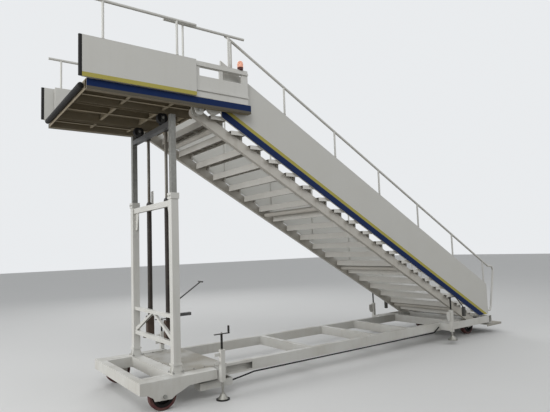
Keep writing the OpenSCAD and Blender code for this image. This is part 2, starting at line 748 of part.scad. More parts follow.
// Side panel of the flight: sheet outside, frame bars inside.
panel_top = 736;
panel_low = 80;
panel_x0 = floor_end_x + 204;
panel_x1 = 7545;
panel_end_z = 420;
bar_w = 44;
function panel_up(x) = nosing_z(x) + panel_top;
function panel_down(x) = max(panel_end_z, nosing_z(x) - panel_low);
module stair_panel() {
  bend = floor_end_x + (floor_z - panel_low - panel_end_z) / slope_t;
  y = [tread_half, panel_out - 5];
  side_plate([[panel_x0, panel_down(panel_x0)], [panel_x0, panel_up(panel_x0)],
              [panel_x1, panel_up(panel_x1)], [panel_x1, panel_end_z],
              [bend, panel_end_z]], y[1], panel_out);
  side_plate([[panel_x0, panel_up(panel_x0)], [panel_x1, panel_up(panel_x1)],
              [panel_x1, panel_up(panel_x1) - bar_w],
              [panel_x0, panel_up(panel_x0) - bar_w]], y[0], y[1]);
  side_plate([[panel_x0, panel_down(panel_x0) + bar_w], [bend, panel_end_z + bar_w],
              [bend, panel_end_z], [panel_x0, panel_down(panel_x0)]], y[0], y[1]);
  for (x = [panel_x0, for (i = [0 : 4]) first_post + i * post_pitch - 20, panel_x1 - 40])
    side_plate([[x, panel_down(x) + 34], [x + 40, panel_down(x) + 34],
                [x + 40, panel_up(x + 40) - 40], [x, panel_up(x) - 40]], y[0], y[1]);
}
module stair_panel_left() color(white) placed() right_side() stair_panel();
module stair_panel_right() color(white) placed() stair_panel();

// Handrail of the flight with upright posts and a turned-down foot.
module stair_rail() {
  y = tread_half + panel_t / 2;
  x0 = floor_end_x + 304;
  run([[x0, nosing_z(x0) + handrail_h], [7665, nosing_z(7665) + handrail_h], [7815, 1395],
       [7855, 1320], [7680, 560], [7640, 490], [panel_x1, 490]], y, rail_r);
  for (x = [1400, for (i = [0 : 5]) first_post + i * post_pitch])
    rod_z(x, y, post_r, panel_up(x) + post_r * slope_t, nosing_z(x) + handrail_h);
}
module stair_rail_left() color(white) placed() right_side() stair_rail();
module stair_rail_right() color(white) placed() stair_rail();

// Half-round stops that hang beside the flight.
stop_x = 1086;
stop_z = plat_under_z + 52;
stop_r = 112;
stop_w = 53;
stop_in = arm_half - arm_w - stop_w - lug_gap;

// Grid of the platform: side arms, tracks, bearers and cross ribs.
module platform_frame() {
  top = floor_z - deck_t;
  color(white) placed() {
    both_sides() {
      box_x(-plat_front, arm_end_x, arm_half - arm_w, arm_half, plat_under_z, top, 6);
      for (s = [-1, 1])
        span(-plat_front + 8, floor_end_x, roller_y + s * 44 - 4, roller_y + s * 44 + 4,
             plat_under_z, top);
      span(-plat_front + 8, floor_end_x, roller_y - 40, roller_y + 40, track_under,
           track_under + 8);
      span(-plat_front + 8, floor_end_x, 716, 724, track_under, top);
    }
    span(-plat_front + 8, floor_end_x, -4, 4, track_under, top);
    for (x = [-60, 520])
      span(x, x + 8, -arm_half + arm_w, arm_half - arm_w, track_under + 8, top);
    span(knee_x + 96, knee_x + 104, -stop_in, stop_in, track_under + 8, top);
    span(-plat_front, -plat_front + 8, -arm_half + arm_w, arm_half - arm_w, plat_under_z, top);
    span(floor_end_x, floor_end_x + 6, -stop_in, stop_in, plat_under_z + 24, top);
  }
}
module platform_floor() {
  color(steel) placed()
    span(-plat_front, floor_end_x + 6, -arm_half, arm_half, floor_z - deck_t, floor_z);
}
// Edge strips on the side arms.
module platform_fascia() {
  color(blue) placed() both_sides() {
    span(-plat_front, arm_end_x, arm_half, arm_half + 6, plat_under_z - 4, floor_z - 10);
    span(-plat_front, arm_end_x - 20, arm_half + 6, arm_half + 10, plat_under_z - 4,
         plat_under_z + 28);
  }
}

// Pins of the knee, each in two lugs outside its stringer, and the stops under the arms.
module knee_hinges() {
  arm_in = arm_half - arm_w;
  top = floor_z - deck_t;
  lug = [[knee_x - 60, knee_z - 30], [knee_x - 30, knee_z - 60], [knee_x + 30, knee_z - 60],
         [knee_x + 60, knee_z - 30], [knee_x + 90, top], [knee_x - 90, top]];
  lug_y = eye_out + lug_gap;
  color(white) placed() both_sides() {
    side_plate(lug, lug_y, lug_y + lug_t);
    side_plate(lug, arm_in - lug_t, arm_in);
    span(knee_x - 70, knee_x + 70, lug_y + lug_t, arm_in - lug_t, top - 60, top - 52);
    rod_y(knee_x, knee_z, knee_pin_r, eye_in, arm_in + 8);
    side_plate([for (i = [0 : 24]) [stop_x + stop_r * cos(180 + i * 7.5),
                                    stop_z + stop_r * sin(180 + i * 7.5)]],
               arm_in - stop_w, arm_in);
    span(stop_x - 60, stop_x + 60, arm_in - 12, arm_in, stop_z, top);
  }
}

// Soft roll along the front edge.
module bumper() {
  color(rubber) placed() {
    half = arm_half - 105;
    rod_y(-plat_front - bumper_r, floor_z - 62, bumper_r, -half, half);
    for (y = [-half * 0.75, 0, half * 0.75])
      span(-plat_front - 30, -plat_front, y - 30, y + 30, floor_z - 90, floor_z - 34);
  }
}

// Front and rear edges of the fixed screens.
fix_x0 = -plat_front + 80;
fix_x1 = arm_end_x - 30;

// Fixed side screens with hand slots and the guide bars of the sliding screens.
module fixed_screens() {
  color(white) placed() both_sides() {
    difference() {
      span(fix_x0, fix_x1, fix_in_y, fix_out_y, floor_z, floor_z + screen_h + 5);
      for (x = [floor_end_x - 186, floor_end_x + 174])
        span(x, x + 310, fix_in_y - 5, fix_out_y + 5, floor_z + 300, floor_z + 420);
    }
    for (g = guides)
      span(fix_x0, fix_x1, fix_out_y, guide_out_y, floor_z + g, floor_z + g + guide_h);
  }
}
module fixed_rails() {
  y = (fix_in_y + fix_out_y) / 2;
  color(white) placed() both_sides() {
    run([[330, floor_z + plat_rail_h], [1560, floor_z + plat_rail_h]], y, rail_r - 1);
    for (x = [600, floor_end_x + 284])
      rod_z(x, y, post_r - 1.5, floor_z + screen_h + 5, floor_z + plat_rail_h);
  }
}
// Warning lamp on the left screen.
module beacon() {
  y = -(fix_in_y + fix_out_y) / 2;
  color(orange) placed() {
    rod_z(1490, y, 12, floor_z + screen_h + 5, floor_z + screen_h + 90);
    rod_z(1490, y, 30, floor_z + screen_h + 90, floor_z + screen_h + 190);
  }
}

// Heights of the guide bars above the floor.
guides = [90, 430];
guide_h = 30;
// Screen with four runner shoes that hold on to the guide bars.
module slide_screen() {
  span(-slide_front, -slide_front + slide_len, slide_in_y, slide_out_y,
       floor_z - 5, floor_z + screen_h - 5);
  for (g = guides, x = [-200, 660])
    difference() {
      span(x - 30, x + 30, fix_out_y + 5, slide_in_y, floor_z + g - 9,
           floor_z + g + guide_h + 9);
      span(x - 31, x + 31, fix_out_y, guide_out_y + shoe_gap, floor_z + g - shoe_gap,
           floor_z + g + guide_h + shoe_gap);
    }
}
module slide_edge() {
  span(-slide_front - edge_d + 17, -slide_front, slide_in_y, slide_out_y,
       floor_z, floor_z + screen_h - 5);
  rod_z(-slide_front - edge_d + 17, (slide_in_y + slide_out_y) / 2, 17, floor_z,
        floor_z + screen_h - 5);
}
module slide_rail() {
  y = (slide_in_y + slide_out_y) / 2;
  z = floor_z + plat_rail_h;
  run([[-640, z], [770, z]], y, rail_r - 1);
  for (x = [-460, 490]) rod_z(x, y, post_r, floor_z + screen_h - 5, z);
}
module slide_screen_left() color(white) placed() right_side() slide_screen();
module slide_screen_right() color(white) placed() slide_screen();
module slide_edge_left() color(rubber) placed() right_side() slide_edge();
module slide_edge_right() color(rubber) placed() slide_edge();
module slide_rail_left() color(white) placed() right_side() slide_rail();
module slide_rail_right() color(white) placed() slide_rail();

chassis_frame();
side_plates();
front_deck();
rear_wheel_mounts();
axles();
mast_columns();
mast_bracing();
lift_barrels();
hand_pump();
jack_tubes();
tool_tray();
service_hose();
rear_step();
foot_hinges();
wheel_front_left();
wheel_front_right();
wheel_rear_left();
wheel_rear_right();
tyre_front_left();
tyre_front_right();
tyre_rear_left();
tyre_rear_right();
jack_screw_front_left();
jack_screw_front_right();
jack_screw_rear_left();
jack_screw_rear_right();
inner_tubes();
crosshead();
rollers();
lift_rods();
stringers();
stair_treads();
tread_brackets();
stair_panel_left();
stair_panel_right();
stair_rail_left();
stair_rail_right();
platform_frame();
platform_floor();
platform_fascia();
knee_hinges();
bumper();
fixed_screens();
fixed_rails();
beacon();
slide_screen_left();
slide_screen_right();
slide_edge_left();
slide_edge_right();
slide_rail_left();
slide_rail_right();
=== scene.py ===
"""Looks of a set of towable passenger stairs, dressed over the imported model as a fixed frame.

Lengths are in metres. A station is a distance from the front face of the chassis,
and x_at() turns it into the shared frame. The near side of the picture is -Y.
"""

import json
import logging
import math
from dataclasses import dataclass, field
from enum import Enum
from typing import Any, Iterable, Sequence

import bmesh
import bpy
from mathutils import Euler, Matrix, Vector


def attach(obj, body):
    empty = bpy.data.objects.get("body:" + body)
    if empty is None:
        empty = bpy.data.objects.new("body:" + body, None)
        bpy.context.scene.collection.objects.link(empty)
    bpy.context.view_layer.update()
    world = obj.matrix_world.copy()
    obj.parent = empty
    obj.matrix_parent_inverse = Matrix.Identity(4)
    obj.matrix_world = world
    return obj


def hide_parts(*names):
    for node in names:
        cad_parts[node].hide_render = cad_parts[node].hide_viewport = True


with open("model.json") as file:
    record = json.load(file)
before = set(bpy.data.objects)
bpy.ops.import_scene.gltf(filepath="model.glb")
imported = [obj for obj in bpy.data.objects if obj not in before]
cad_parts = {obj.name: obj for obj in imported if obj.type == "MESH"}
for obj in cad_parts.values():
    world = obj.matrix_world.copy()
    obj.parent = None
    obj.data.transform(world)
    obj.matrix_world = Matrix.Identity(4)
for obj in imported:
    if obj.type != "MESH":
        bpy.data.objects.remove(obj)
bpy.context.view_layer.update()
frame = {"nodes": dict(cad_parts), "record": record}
LOG = logging.getLogger("stairs")

# The station of the frame's origin, then one step of the flight and its slope.
MID = 3.64
RISE, GOING = 0.181, 0.32
SLOPE = 181.0 / 320.0
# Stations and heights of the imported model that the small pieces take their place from.
FLOOR_Z, FLOOR_END = 4.0, 1.016
KNEE_X, KNEE_Z = 0.86, 3.847
FOOT_X, FOOT_Z = 7.15, 0.2892
WHEEL_Z, FRONT_AXLE, REAR_AXLE = 0.18, 0.317, 7.27
FRONT_JACK, REAR_JACK = 1.092, 6.15
# Distances from the middle: wheels, handrail, outer face of the side panel, fixed screen.
FRONT_WHEEL_Y, REAR_WHEEL_Y = 0.850, 0.580
RAIL_Y, PANEL_OUT, SCREEN_Y = 0.920, 0.935, 1.025
# Over the line of the nosings: panel and handrail. Under it: the panel's lower edge.
PANEL_TOP, RAIL_TOP, PANEL_LOW = 0.736, 1.176, 0.080
# What faces up above this height is the platform's floor.
FLOOR_SKIN = 3.995
# Linear colours: paint, the two stripes, dust, rust and the walked deck.
WHITE = (0.60, 0.60, 0.575)
STRIPE_YELLOW = (0.42, 0.37, 0.085)
STRIPE_BLUE = (0.004, 0.019, 0.085)
DUST = (0.30, 0.265, 0.205)
RUST_DARK, RUST_LIGHT = (0.17, 0.075, 0.035), (0.33, 0.16, 0.07)
DECK_WORN, DECK_PALE = (0.26, 0.255, 0.24), (0.38, 0.37, 0.34)

Point = tuple[float, float, float]


def x_at(station: float) -> float:
    """Frame X of a station."""
    return station - MID


def nosing_z(station: float) -> float:
    """Height of the line through the nosings at a station."""
    return FLOOR_Z - (station - FLOOR_END) * SLOPE


def hinge_z(station: float) -> float:
    """Height of the stringers' middle line at a station."""
    return KNEE_Z - (station - KNEE_X) * SLOPE


class Side(Enum):
    """The two sides of the stairs, by the sign of Y."""

    LEFT = -1
    RIGHT = 1

    @property
    def word(self) -> str:
        """Lower-case name for piece names."""
        return self.name.lower()


# ---------------------------------------------------------------- shader language


class Wire:
    """A socket that can stand in arithmetic; each operation adds one Math node."""

    def __init__(self, graph: "Graph", socket: bpy.types.NodeSocket) -> None:
        """Keeps the socket and the graph that new nodes go to."""
        self.graph = graph
        self.socket = socket

    def _math(self, operation: str, *operands: Any) -> "Wire":
        """Adds a Math node.

        Args:
            operation: Blender's name of the operation.
            operands: wires or numbers, in the node's order.

        Returns:
            The wire of the result.
        """
        return self.graph.wire("ShaderNodeMath", {"operation": operation}, dict(enumerate(operands)))

    def __add__(self, other: Any) -> "Wire":
        """Sum."""
        return self._math("ADD", self, other)

    __radd__ = __add__

    def __sub__(self, other: Any) -> "Wire":
        """Difference."""
        return self._math("SUBTRACT", self, other)

    def __rsub__(self, other: float) -> "Wire":
        """Difference from a number."""
        return self._math("SUBTRACT", other, self)

    def __mul__(self, other: Any) -> "Wire":
        """Product."""
        return self._math("MULTIPLY", self, other)

    __rmul__ = __mul__

    def __truediv__(self, other: Any) -> "Wire":
        """Quotient."""
        return self._math("DIVIDE", self, other)

    def __gt__(self, other: Any) -> "Wire":
        """1 where greater, else 0."""
        return self._math("GREATER_THAN", self, other)

    def __mod__(self, other: Any) -> "Wire":
        """Remainder that stays positive."""
        return self._math("FLOORED_MODULO", self, other)

    def __pow__(self, other: Any) -> "Wire":
        """Power."""
        return self._math("POWER", self, other)

    def __abs__(self) -> "Wire":
        """Size without sign."""
        return self._math("ABSOLUTE", self)

    def floor(self) -> "Wire":
        """Whole part."""
        return self._math("FLOOR", self)

    def most(self, other: Any) -> "Wire":
        """The greater of two."""
        return self._math("MAXIMUM", self, other)

    def least(self, other: Any) -> "Wire":
        """The lesser of two."""
        return self._math("MINIMUM", self, other)

    def ramp(self, low: float, high: float) -> "Wire":
        """0 below low, 1 above high, smooth between."""
        return self.graph.wire("ShaderNodeMapRange", {"interpolation_type": "SMOOTHSTEP", "clamp": True},
                               {"Value": self, "From Min": low, "From Max": high})

    def band(self, ends: tuple[float, float], soft: float = 0.0012) -> "Wire":
        """1 between the ends, else 0, with soft edges."""
        low, high = ends
        return self.ramp(low - soft, low + soft) * (1.0 - self.ramp(high - soft, high + soft))


class Graph:
    """Makes the nodes of one tree, shader or geometry."""

    def __init__(self, tree: bpy.types.NodeTree) -> None:
        """Keeps the tree."""
        self.tree = tree

    def node(self, kind: str, settings: dict[str, Any] | None = None,
             values: dict[Any, Any] | None = None) -> bpy.types.Node:
        """Makes one node.

        Args:
            kind: the node's type.
            settings: properties that are set before the sockets.
            values: what each input socket gets, by name or number: a wire, a socket or a value.

        Returns:
            The new node.
        """
        made = self.tree.nodes.new(kind)
        for name, value in (settings or {}).items():
            setattr(made, name, value)
        for key, value in (values or {}).items():
            target = made.inputs[key]
            if isinstance(value, Wire):
                self.tree.links.new(value.socket, target)
            elif isinstance(value, bpy.types.NodeSocket):
                self.tree.links.new(value, target)
            else:
                target.default_value = value
        return made

    def socket(self, kind: str, settings: dict[str, Any] | None = None,
               values: dict[Any, Any] | None = None, output: Any = 0) -> bpy.types.NodeSocket:
        """Makes one node and returns one of its outputs."""
        return self.node(kind, settings, values).outputs[output]

    def wire(self, kind: str, settings: dict[str, Any] | None = None,
             values: dict[Any, Any] | None = None, output: Any = 0) -> Wire:
        """Makes one node and returns one of its outputs as a wire."""
        return Wire(self, self.socket(kind, settings, values, output))

    def blend(self, mask: Any, low: Any, high: Any, mode: str = "MIX") -> Wire:
        """Colour that goes from low to high with the mask.

        Args:
            mask: a wire or number; 0 gives low and 1 gives high.
            low: a wire, a socket or a colour.
            high: a wire, a socket or a colour.
            mode: how high is laid over low.

        Returns:
            The wire of the colour.
        """
        low, high = ((*c, 1.0) if isinstance(c, tuple) else c for c in (low, high))
        return self.wire("ShaderNodeMix", {"data_type": "RGBA", "blend_type": mode, "clamp_factor": True},
                         {0: mask, 6: low, 7: high}, output=2)

    def seen(self) -> Wire:
        """Tells rays of the camera and of reflections from the light on the object.

        Returns:
            The wire that is 1 for what the camera and reflections see, else 0.
        """
        path = self.node("ShaderNodeLightPath")
        camera, glossy = (Wire(self, path.outputs[name]) for name in ("Is Camera Ray", "Is Glossy Ray"))
        return camera.most(glossy)


class Paper(Graph):
    """The node tree of one material, with the coordinates that its patterns read."""

    def __init__(self, name: str) -> None:
        """Makes the material with one Principled shader and the object's coordinates.

        Args:
            name: the material's name.
        """
        self.material = bpy.data.materials.new(name)
        self.material.use_nodes = True
        super().__init__(self.material.node_tree)
        self.shader = self.tree.nodes["Principled BSDF"]
        coordinates = self.node("ShaderNodeTexCoord")
        self.place = coordinates.outputs["Object"]
        parts = self.node("ShaderNodeSeparateXYZ", values={0: self.place})
        self.x, self.y, self.z = (Wire(self, parts.outputs[i]) for i in range(3))
        self.up = self.wire("ShaderNodeSeparateXYZ", values={0: coordinates.outputs["Normal"]}, output=2)

    def noise(self, scale: float, detail: float = 3.0, roughness: float = 0.55,
              stretch: Point = (1.0, 1.0, 1.0)) -> Wire:
        """Even noise between 0 and 1.

        Args:
            scale: patches in each metre.
            detail: number of finer layers.
            roughness: strength of the finer layers.
            stretch: factors on the three coordinates.

        Returns:
            The wire of the noise.
        """
        place = self.socket("ShaderNodeMapping", values={"Vector": self.place, "Scale": stretch})
        return self.wire("ShaderNodeTexNoise", {"noise_dimensions": "3D"},
                         {"Vector": place, "Scale": scale, "Detail": detail,
                          "Roughness": roughness})

    def cells(self, scale: float, output: str = "Distance") -> Wire:
        """Voronoi cells; the output is their distance or their colour."""
        return self.wire("ShaderNodeTexVoronoi", values={"Vector": self.place, "Scale": scale},
                         output=output)

    def bump(self, height: Any, depth: float) -> None:
        """Feeds the shader's normal from a height.

        Args:
            height: the wire of the height, between 0 and 1.
            depth: how deep a height of 1 is, in metres.
        """
        self.feed("Normal", self.wire("ShaderNodeBump", values={"Strength": 1.0, "Distance": depth,
                                                                "Height": height}))

    def feed(self, name: str, value: Any) -> None:
        """Sets or links one input of the shader.

        Args:
            name: the input's name.
            value: a wire, a number or a colour.
        """
        target = self.shader.inputs[name]
        if isinstance(value, Wire):
            self.tree.links.new(value.socket, target)
        else:
            target.default_value = (*value, 1.0) if isinstance(value, tuple) else value


# ---------------------------------------------------------------- finishes


@dataclass(frozen=True)
class Finish:
    """One material of the stairs; each kind lays its own layers."""

    name: str

    def fill(self, paper: Paper) -> None:
        """Lays the layers.

        Args:
            paper: the material's node tree.
        """
        raise NotImplementedError

    def build(self) -> bpy.types.Material:
        """Makes the material.

        Returns:
            The new material.
        """
        paper = Paper(self.name)
        self.fill(paper)
        return paper.material


@dataclass(frozen=True)
class Enamel(Finish):
    """Sprayed enamel that has stood outdoors: orange peel, dust, streaks and small chips.

    The dust thins out up to dust_top, and faces that look down take the under colour as painted shade, when
    one is given.
    """

    colour: Point
    roughness: float = 0.42
    dust: float = 0.35
    chips: float = 0.15
    dust_top: float = 0.9
    chequer: bool = False
    gloss: float = 0.5
    coat: float = 0.18
    under: Point | None = None

    def colours(self, paper: Paper) -> Wire | Point:
        """The clean paint's colour; a finish with stripes gives a wire."""
        return self.colour

    def fill(self, paper: Paper) -> None:
        """Lays paint, dust, runs and chips.

        Args:
            paper: the material's node tree.
        """
        patches = paper.noise(2.3, 4.0)
        fine = paper.noise(38.0, 3.0, 0.6)
        streaks = paper.noise(16.0, 3.0, 0.5, (1.0, 1.0, 0.07))
        tint = paper.blend((patches - 0.5) * 0.5 + 0.35, (1.0, 1.0, 1.0), (0.90, 0.885, 0.85))
        base = paper.blend(1.0, self.colours(paper), tint, "MULTIPLY")
        # Dust lies thicker near the ground and on what faces up, with runs down the sides.
        ground = 1.0 - paper.z.ramp(0.1, self.dust_top)
        lying = paper.up.ramp(0.55, 0.95)
        runs = streaks.ramp(0.52, 0.75) * (1.0 - lying)
        veil = ((ground * 0.55 + lying * 0.45 + 0.12) * patches.ramp(0.30, 0.72) + runs * 0.28
                + fine.ramp(0.55, 0.8) * 0.12) * self.dust
        base = paper.blend(veil, base, DUST)
        # Painted shade: faces that look down turn to the under colour.
        if self.under is not None:
            base = paper.blend((0.0 - paper.up).ramp(0.3, 0.7), base, self.under)
        chips = (paper.noise(70.0, 2.0, 0.7) + patches * 0.12).ramp(0.735, 0.765) * self.chips
        paper.feed("Base Color", paper.blend(chips, base, paper.blend(fine, RUST_DARK, RUST_LIGHT)))
        paper.feed("Roughness", (veil * 0.55 + chips * 0.3 + fine * 0.10 + self.roughness).least(0.95))
        paper.feed("Coat Roughness", 0.25)
        paper.feed("Coat Weight", (1.0 - veil.ramp(0.0, 0.35)) * self.coat)
        paper.feed("Specular IOR Level", self.gloss)
        height = paper.noise(190.0, 1.0) * 0.10 + (1.0 - chips) * 0.20 + fine * 0.06
        if self.chequer:
            height = height + lozenges(paper) * paper.up.ramp(0.7, 0.9)
        paper.bump(height, 0.0016 if self.chequer else 0.0012)


def lozenges(paper: Paper, pitch: float = 0.034) -> Wire:
    """Raised lozenges of chequer plate, turned by 90 degrees from one cell to the next.

    Args:
        paper: the material's node tree.
        pitch: the side of a cell.

    Returns:
        The wire of the height, between 0 and 1.
    """
    u, v = paper.x / pitch, paper.y / pitch
    odd = (u.floor() + v.floor()) % 2.0
    across, along = u % 1.0 - 0.5, v % 1.0 - 0.5
    first, second = across + along, across - along
    long_way = abs(first * odd + second * (1.0 - odd))
    short_way = abs(second * odd + first * (1.0 - odd))
    reach = (long_way / 0.78) ** 2.0 + (short_way / 0.20) ** 2.0
    return 1.0 - reach.ramp(0.55, 1.0)


@dataclass(frozen=True)
class StripedEnamel(Enamel):
    """Enamel with a blue and a yellow band on its outward faces, and white elsewhere.

    The bands follow an edge of the given slope; origin is the edge's height at X = 0, blue
    and yellow are the bands' limits over it, and outward faces lie beyond outside in Y.
    """

    slope: float = SLOPE
    origin: float = 0.0
    blue: tuple[float, float] = (-1.0, 0.1)
    yellow: tuple[float, float] = (0.1, 0.16)
    outside: float = 0.93

    def colours(self, paper: Paper) -> Wire:
        """Lays the two bands by the height over the edge, on outward faces alone.

        Args:
            paper: the material's node tree.

        Returns:
            The wire of the colour.
        """
        over = paper.z + paper.x * self.slope - self.origin
        outer = abs(paper.y) > self.outside
        plain = paper.blend(outer, WHITE, self.colour)
        marked = paper.blend(over.band(self.yellow) * outer, plain, STRIPE_YELLOW)
        return paper.blend(over.band(self.blue) * outer, marked, STRIPE_BLUE)


@dataclass(frozen=True)
class Underside(Finish):
    """Primer and grime below the floor, paler on the arms' outer faces, chequered on the floor."""

    grime: Point = (0.225, 0.187, 0.125)
    white: Point = (0.42, 0.41, 0.37)
    arms_out: float = 1.04

    def fill(self, paper: Paper) -> None:
        """Lays primer, grime and the walked top.

        Args:
            paper: the material's node tree.
        """
        patches = paper.noise(3.0, 4.0)
        fine = paper.noise(30.0, 3.0, 0.6)
        runs = paper.noise(9.0, 3.0, 0.6, (0.25, 1.0, 1.0)).ramp(0.45, 0.7)
        base = paper.blend(patches.ramp(0.35, 0.75) * 0.6 + runs * 0.3, self.grime, (0.28, 0.245, 0.185))
        worn = (fine.ramp(0.60, 0.78) * patches.ramp(0.45, 0.6)) * 0.5
        base = paper.blend(worn, base, (0.38, 0.345, 0.28))
        base = paper.blend((abs(paper.y) > self.arms_out) * 0.75, base, self.white)
        walked = paper.up.ramp(0.5, 0.9) * (paper.z > FLOOR_SKIN)
        deck = paper.blend(patches * 0.6 + worn, DECK_WORN, DECK_PALE)
        paper.feed("Base Color", paper.blend(walked, base, deck))
        paper.feed("Roughness", (patches * 0.2 + fine * 0.15 + 0.52).least(0.95))
        paper.bump(fine * 0.4 + patches * 0.2 + lozenges(paper) * walked, 0.0014)


@dataclass(frozen=True)
class Zinc(Finish):
    """Galvanised or plated steel with spangle, water marks and dull patches.

    With thread_over, what lies above that height has a thread, and the screws' ends are oiled.
    """

    colour: Point = (0.40, 0.41, 0.40)
    spangle: float = 45.0
    roughness: float = 0.48
    grime: float = 0.35
    thread_over: float | None = None
    thread_pitch: float = 0.006
    oiled_over: tuple[float, float] = (0.646, 0.656)
    oiled_under: tuple[float, float] = (0.014, 0.016)

    def fill(self, paper: Paper) -> None:
        """Lays spangle, water marks and the thread.

        Args:
            paper: the material's node tree.
        """
        cells = paper.cells(self.spangle, output="Color")
        tone = paper.wire("ShaderNodeSeparateColor", values={0: cells})
        patches = paper.noise(3.5, 4.0)
        runs = paper.noise(22.0, 3.0, 0.6, (1.0, 1.0, 0.05)).ramp(0.5, 0.75)
        light = tuple(min(1.0, c * 1.22) for c in self.colour)
        dark = tuple(c * 0.72 for c in self.colour)
        base = paper.blend(tone * 0.6 + patches * 0.4, dark, light)
        grime = (patches.ramp(0.45, 0.75) * 0.6 + runs * 0.5) * self.grime
        if self.thread_over is not None:
            oiled = paper.z.ramp(*self.oiled_over).most(1.0 - paper.z.ramp(*self.oiled_under))
            base = paper.blend(oiled, base, (0.022, 0.021, 0.020))
            grime = grime * (1.0 - oiled * 0.6)
        paper.feed("Base Color", paper.blend(grime, base, (0.10, 0.085, 0.065)))
        paper.feed("Metallic", (1.0 - grime * 0.7) * 0.85)
        paper.feed("Roughness", (tone * 0.16 + grime * 0.35 + self.roughness).least(0.95))
        height = tone * 0.10 + paper.noise(120.0, 2.0) * 0.25
        if self.thread_over is not None:
            turn = (paper.z / self.thread_pitch) % 1.0
            height = height * 0.4 + abs(turn - 0.5) * 2.0 * (paper.z > self.thread_over)
        paper.bump(height, 0.0009 if self.thread_over is None else 0.0022)


@dataclass(frozen=True)
class OiledSteel(Finish):
    """Ground piston rod with a thin brown film of oil."""

    colour: Point = (0.12, 0.112, 0.098)

    def fill(self, paper: Paper) -> None:
        """Lays ground steel and oil.

        Args:
            paper: the material's node tree.
        """
        rings = paper.noise(9.0, 4.0, 0.6, (1.0, 1.0, 14.0))
        film = paper.noise(6.0, 4.0, 0.6, (1.0, 1.0, 0.25)).ramp(0.35, 0.7)
        paper.feed("Base Color", paper.blend(film, self.colour, (0.075, 0.062, 0.045)))
        paper.feed("Metallic", 0.7 - film * 0.35)
        paper.feed("Roughness", rings * 0.14 + film * 0.16 + 0.30)
        paper.bump(rings, 0.0002)


@dataclass(frozen=True)
class Primer(Finish):
    """Thin dark primer on the barrels, browner on the foot blocks."""

    colour: Point = (0.026, 0.022, 0.019)
    foot: Point = (0.060, 0.040, 0.030)
    foot_top: float = 1.01

    def fill(self, paper: Paper) -> None:
        """Lays primer and scuffs.

        Args:
            paper: the material's node tree.
        """
        patches = paper.noise(7.0, 4.0)
        scuffs = paper.noise(26.0, 3.0, 0.65, (1.0, 1.0, 0.3)).ramp(0.60, 0.78)
        barrel = paper.z.ramp(self.foot_top - 0.01, self.foot_top + 0.01)
        base = paper.blend(1.0 - barrel, self.colour, self.foot)
        base = paper.blend(patches.ramp(0.4, 0.8) * 0.30, base, (0.10, 0.082, 0.065))
        paper.feed("Base Color", paper.blend(scuffs * 0.35, base, (0.15, 0.13, 0.11)))
        paper.feed("Roughness", patches * 0.3 + 0.42)
        paper.feed("Specular IOR Level", 0.2)
        paper.bump(paper.noise(140.0, 2.0) * 0.5 + scuffs * 0.3, 0.0006)


@dataclass(frozen=True)
class Elastomer(Finish):
    """Rubber or cast polyurethane with scuffs and dry dust."""

    colour: Point
    dust: float = 0.4
    roughness: float = 0.62
    dust_top: float = 0.0

    def fill(self, paper: Paper) -> None:
        """Lays rubber, scuffs and dust.

        Args:
            paper: the material's node tree.
        """
        patches = paper.noise(9.0, 4.0)
        fine = paper.noise(85.0, 3.0, 0.65)
        dirt = (patches.ramp(0.35, 0.72) * 0.7 + fine.ramp(0.55, 0.75) * 0.4) * self.dust
        if self.dust_top > 0.0:
            dirt = dirt + (1.0 - paper.z.ramp(0.0, self.dust_top)) * 0.5 * patches
        pale = tuple(0.8 * c + 0.035 for c in self.colour)
        base = paper.blend(fine * 0.25, self.colour, pale)
        paper.feed("Base Color", paper.blend(dirt, base, (0.26, 0.225, 0.17)))
        paper.feed("Roughness", (dirt * 0.25 + fine * 0.12 + self.roughness).least(0.97))
        paper.feed("Specular IOR Level", 0.2)
        paper.bump(fine * 0.7 + patches * 0.3, 0.0008)


@dataclass(frozen=True)
class CastCore(Finish):
    """Dark cast wheel core with sand grain and brown bloom."""

    colour: Point = (0.007, 0.0065, 0.0065)

    def fill(self, paper: Paper) -> None:
        """Lays cast grain and bloom.

        Args:
            paper: the material's node tree.
        """
        bloom = paper.noise(14.0, 4.0).ramp(0.52, 0.74)
        paper.feed("Base Color", paper.blend(bloom * 0.25, self.colour, (0.045, 0.032, 0.024)))
        paper.feed("Specular IOR Level", 0.15)
        paper.feed("Roughness", bloom * 0.25 + 0.55)
        paper.bump(paper.cells(420.0), 0.0007)


@dataclass(frozen=True)
class LampBody(Finish):
    """Clear orange lamp body with fine upright flutes."""

    colour: Point = (0.85, 0.40, 0.26)

    def fill(self, paper: Paper) -> None:
        """Lays haze and glow.

        Args:
            paper: the material's node tree.
        """
        haze = paper.noise(60.0, 3.0)
        paper.feed("Base Color", paper.blend(haze * 0.35, self.colour, (0.92, 0.55, 0.40)))
        paper.feed("Roughness", haze * 0.15 + 0.16)
        paper.feed("Coat Weight", 0.6)
        paper.feed("Transmission Weight", 0.25)
        paper.feed("Emission Color", self.colour)
        paper.feed("Emission Strength", 0.12)
        paper.bump(haze, 0.0002)


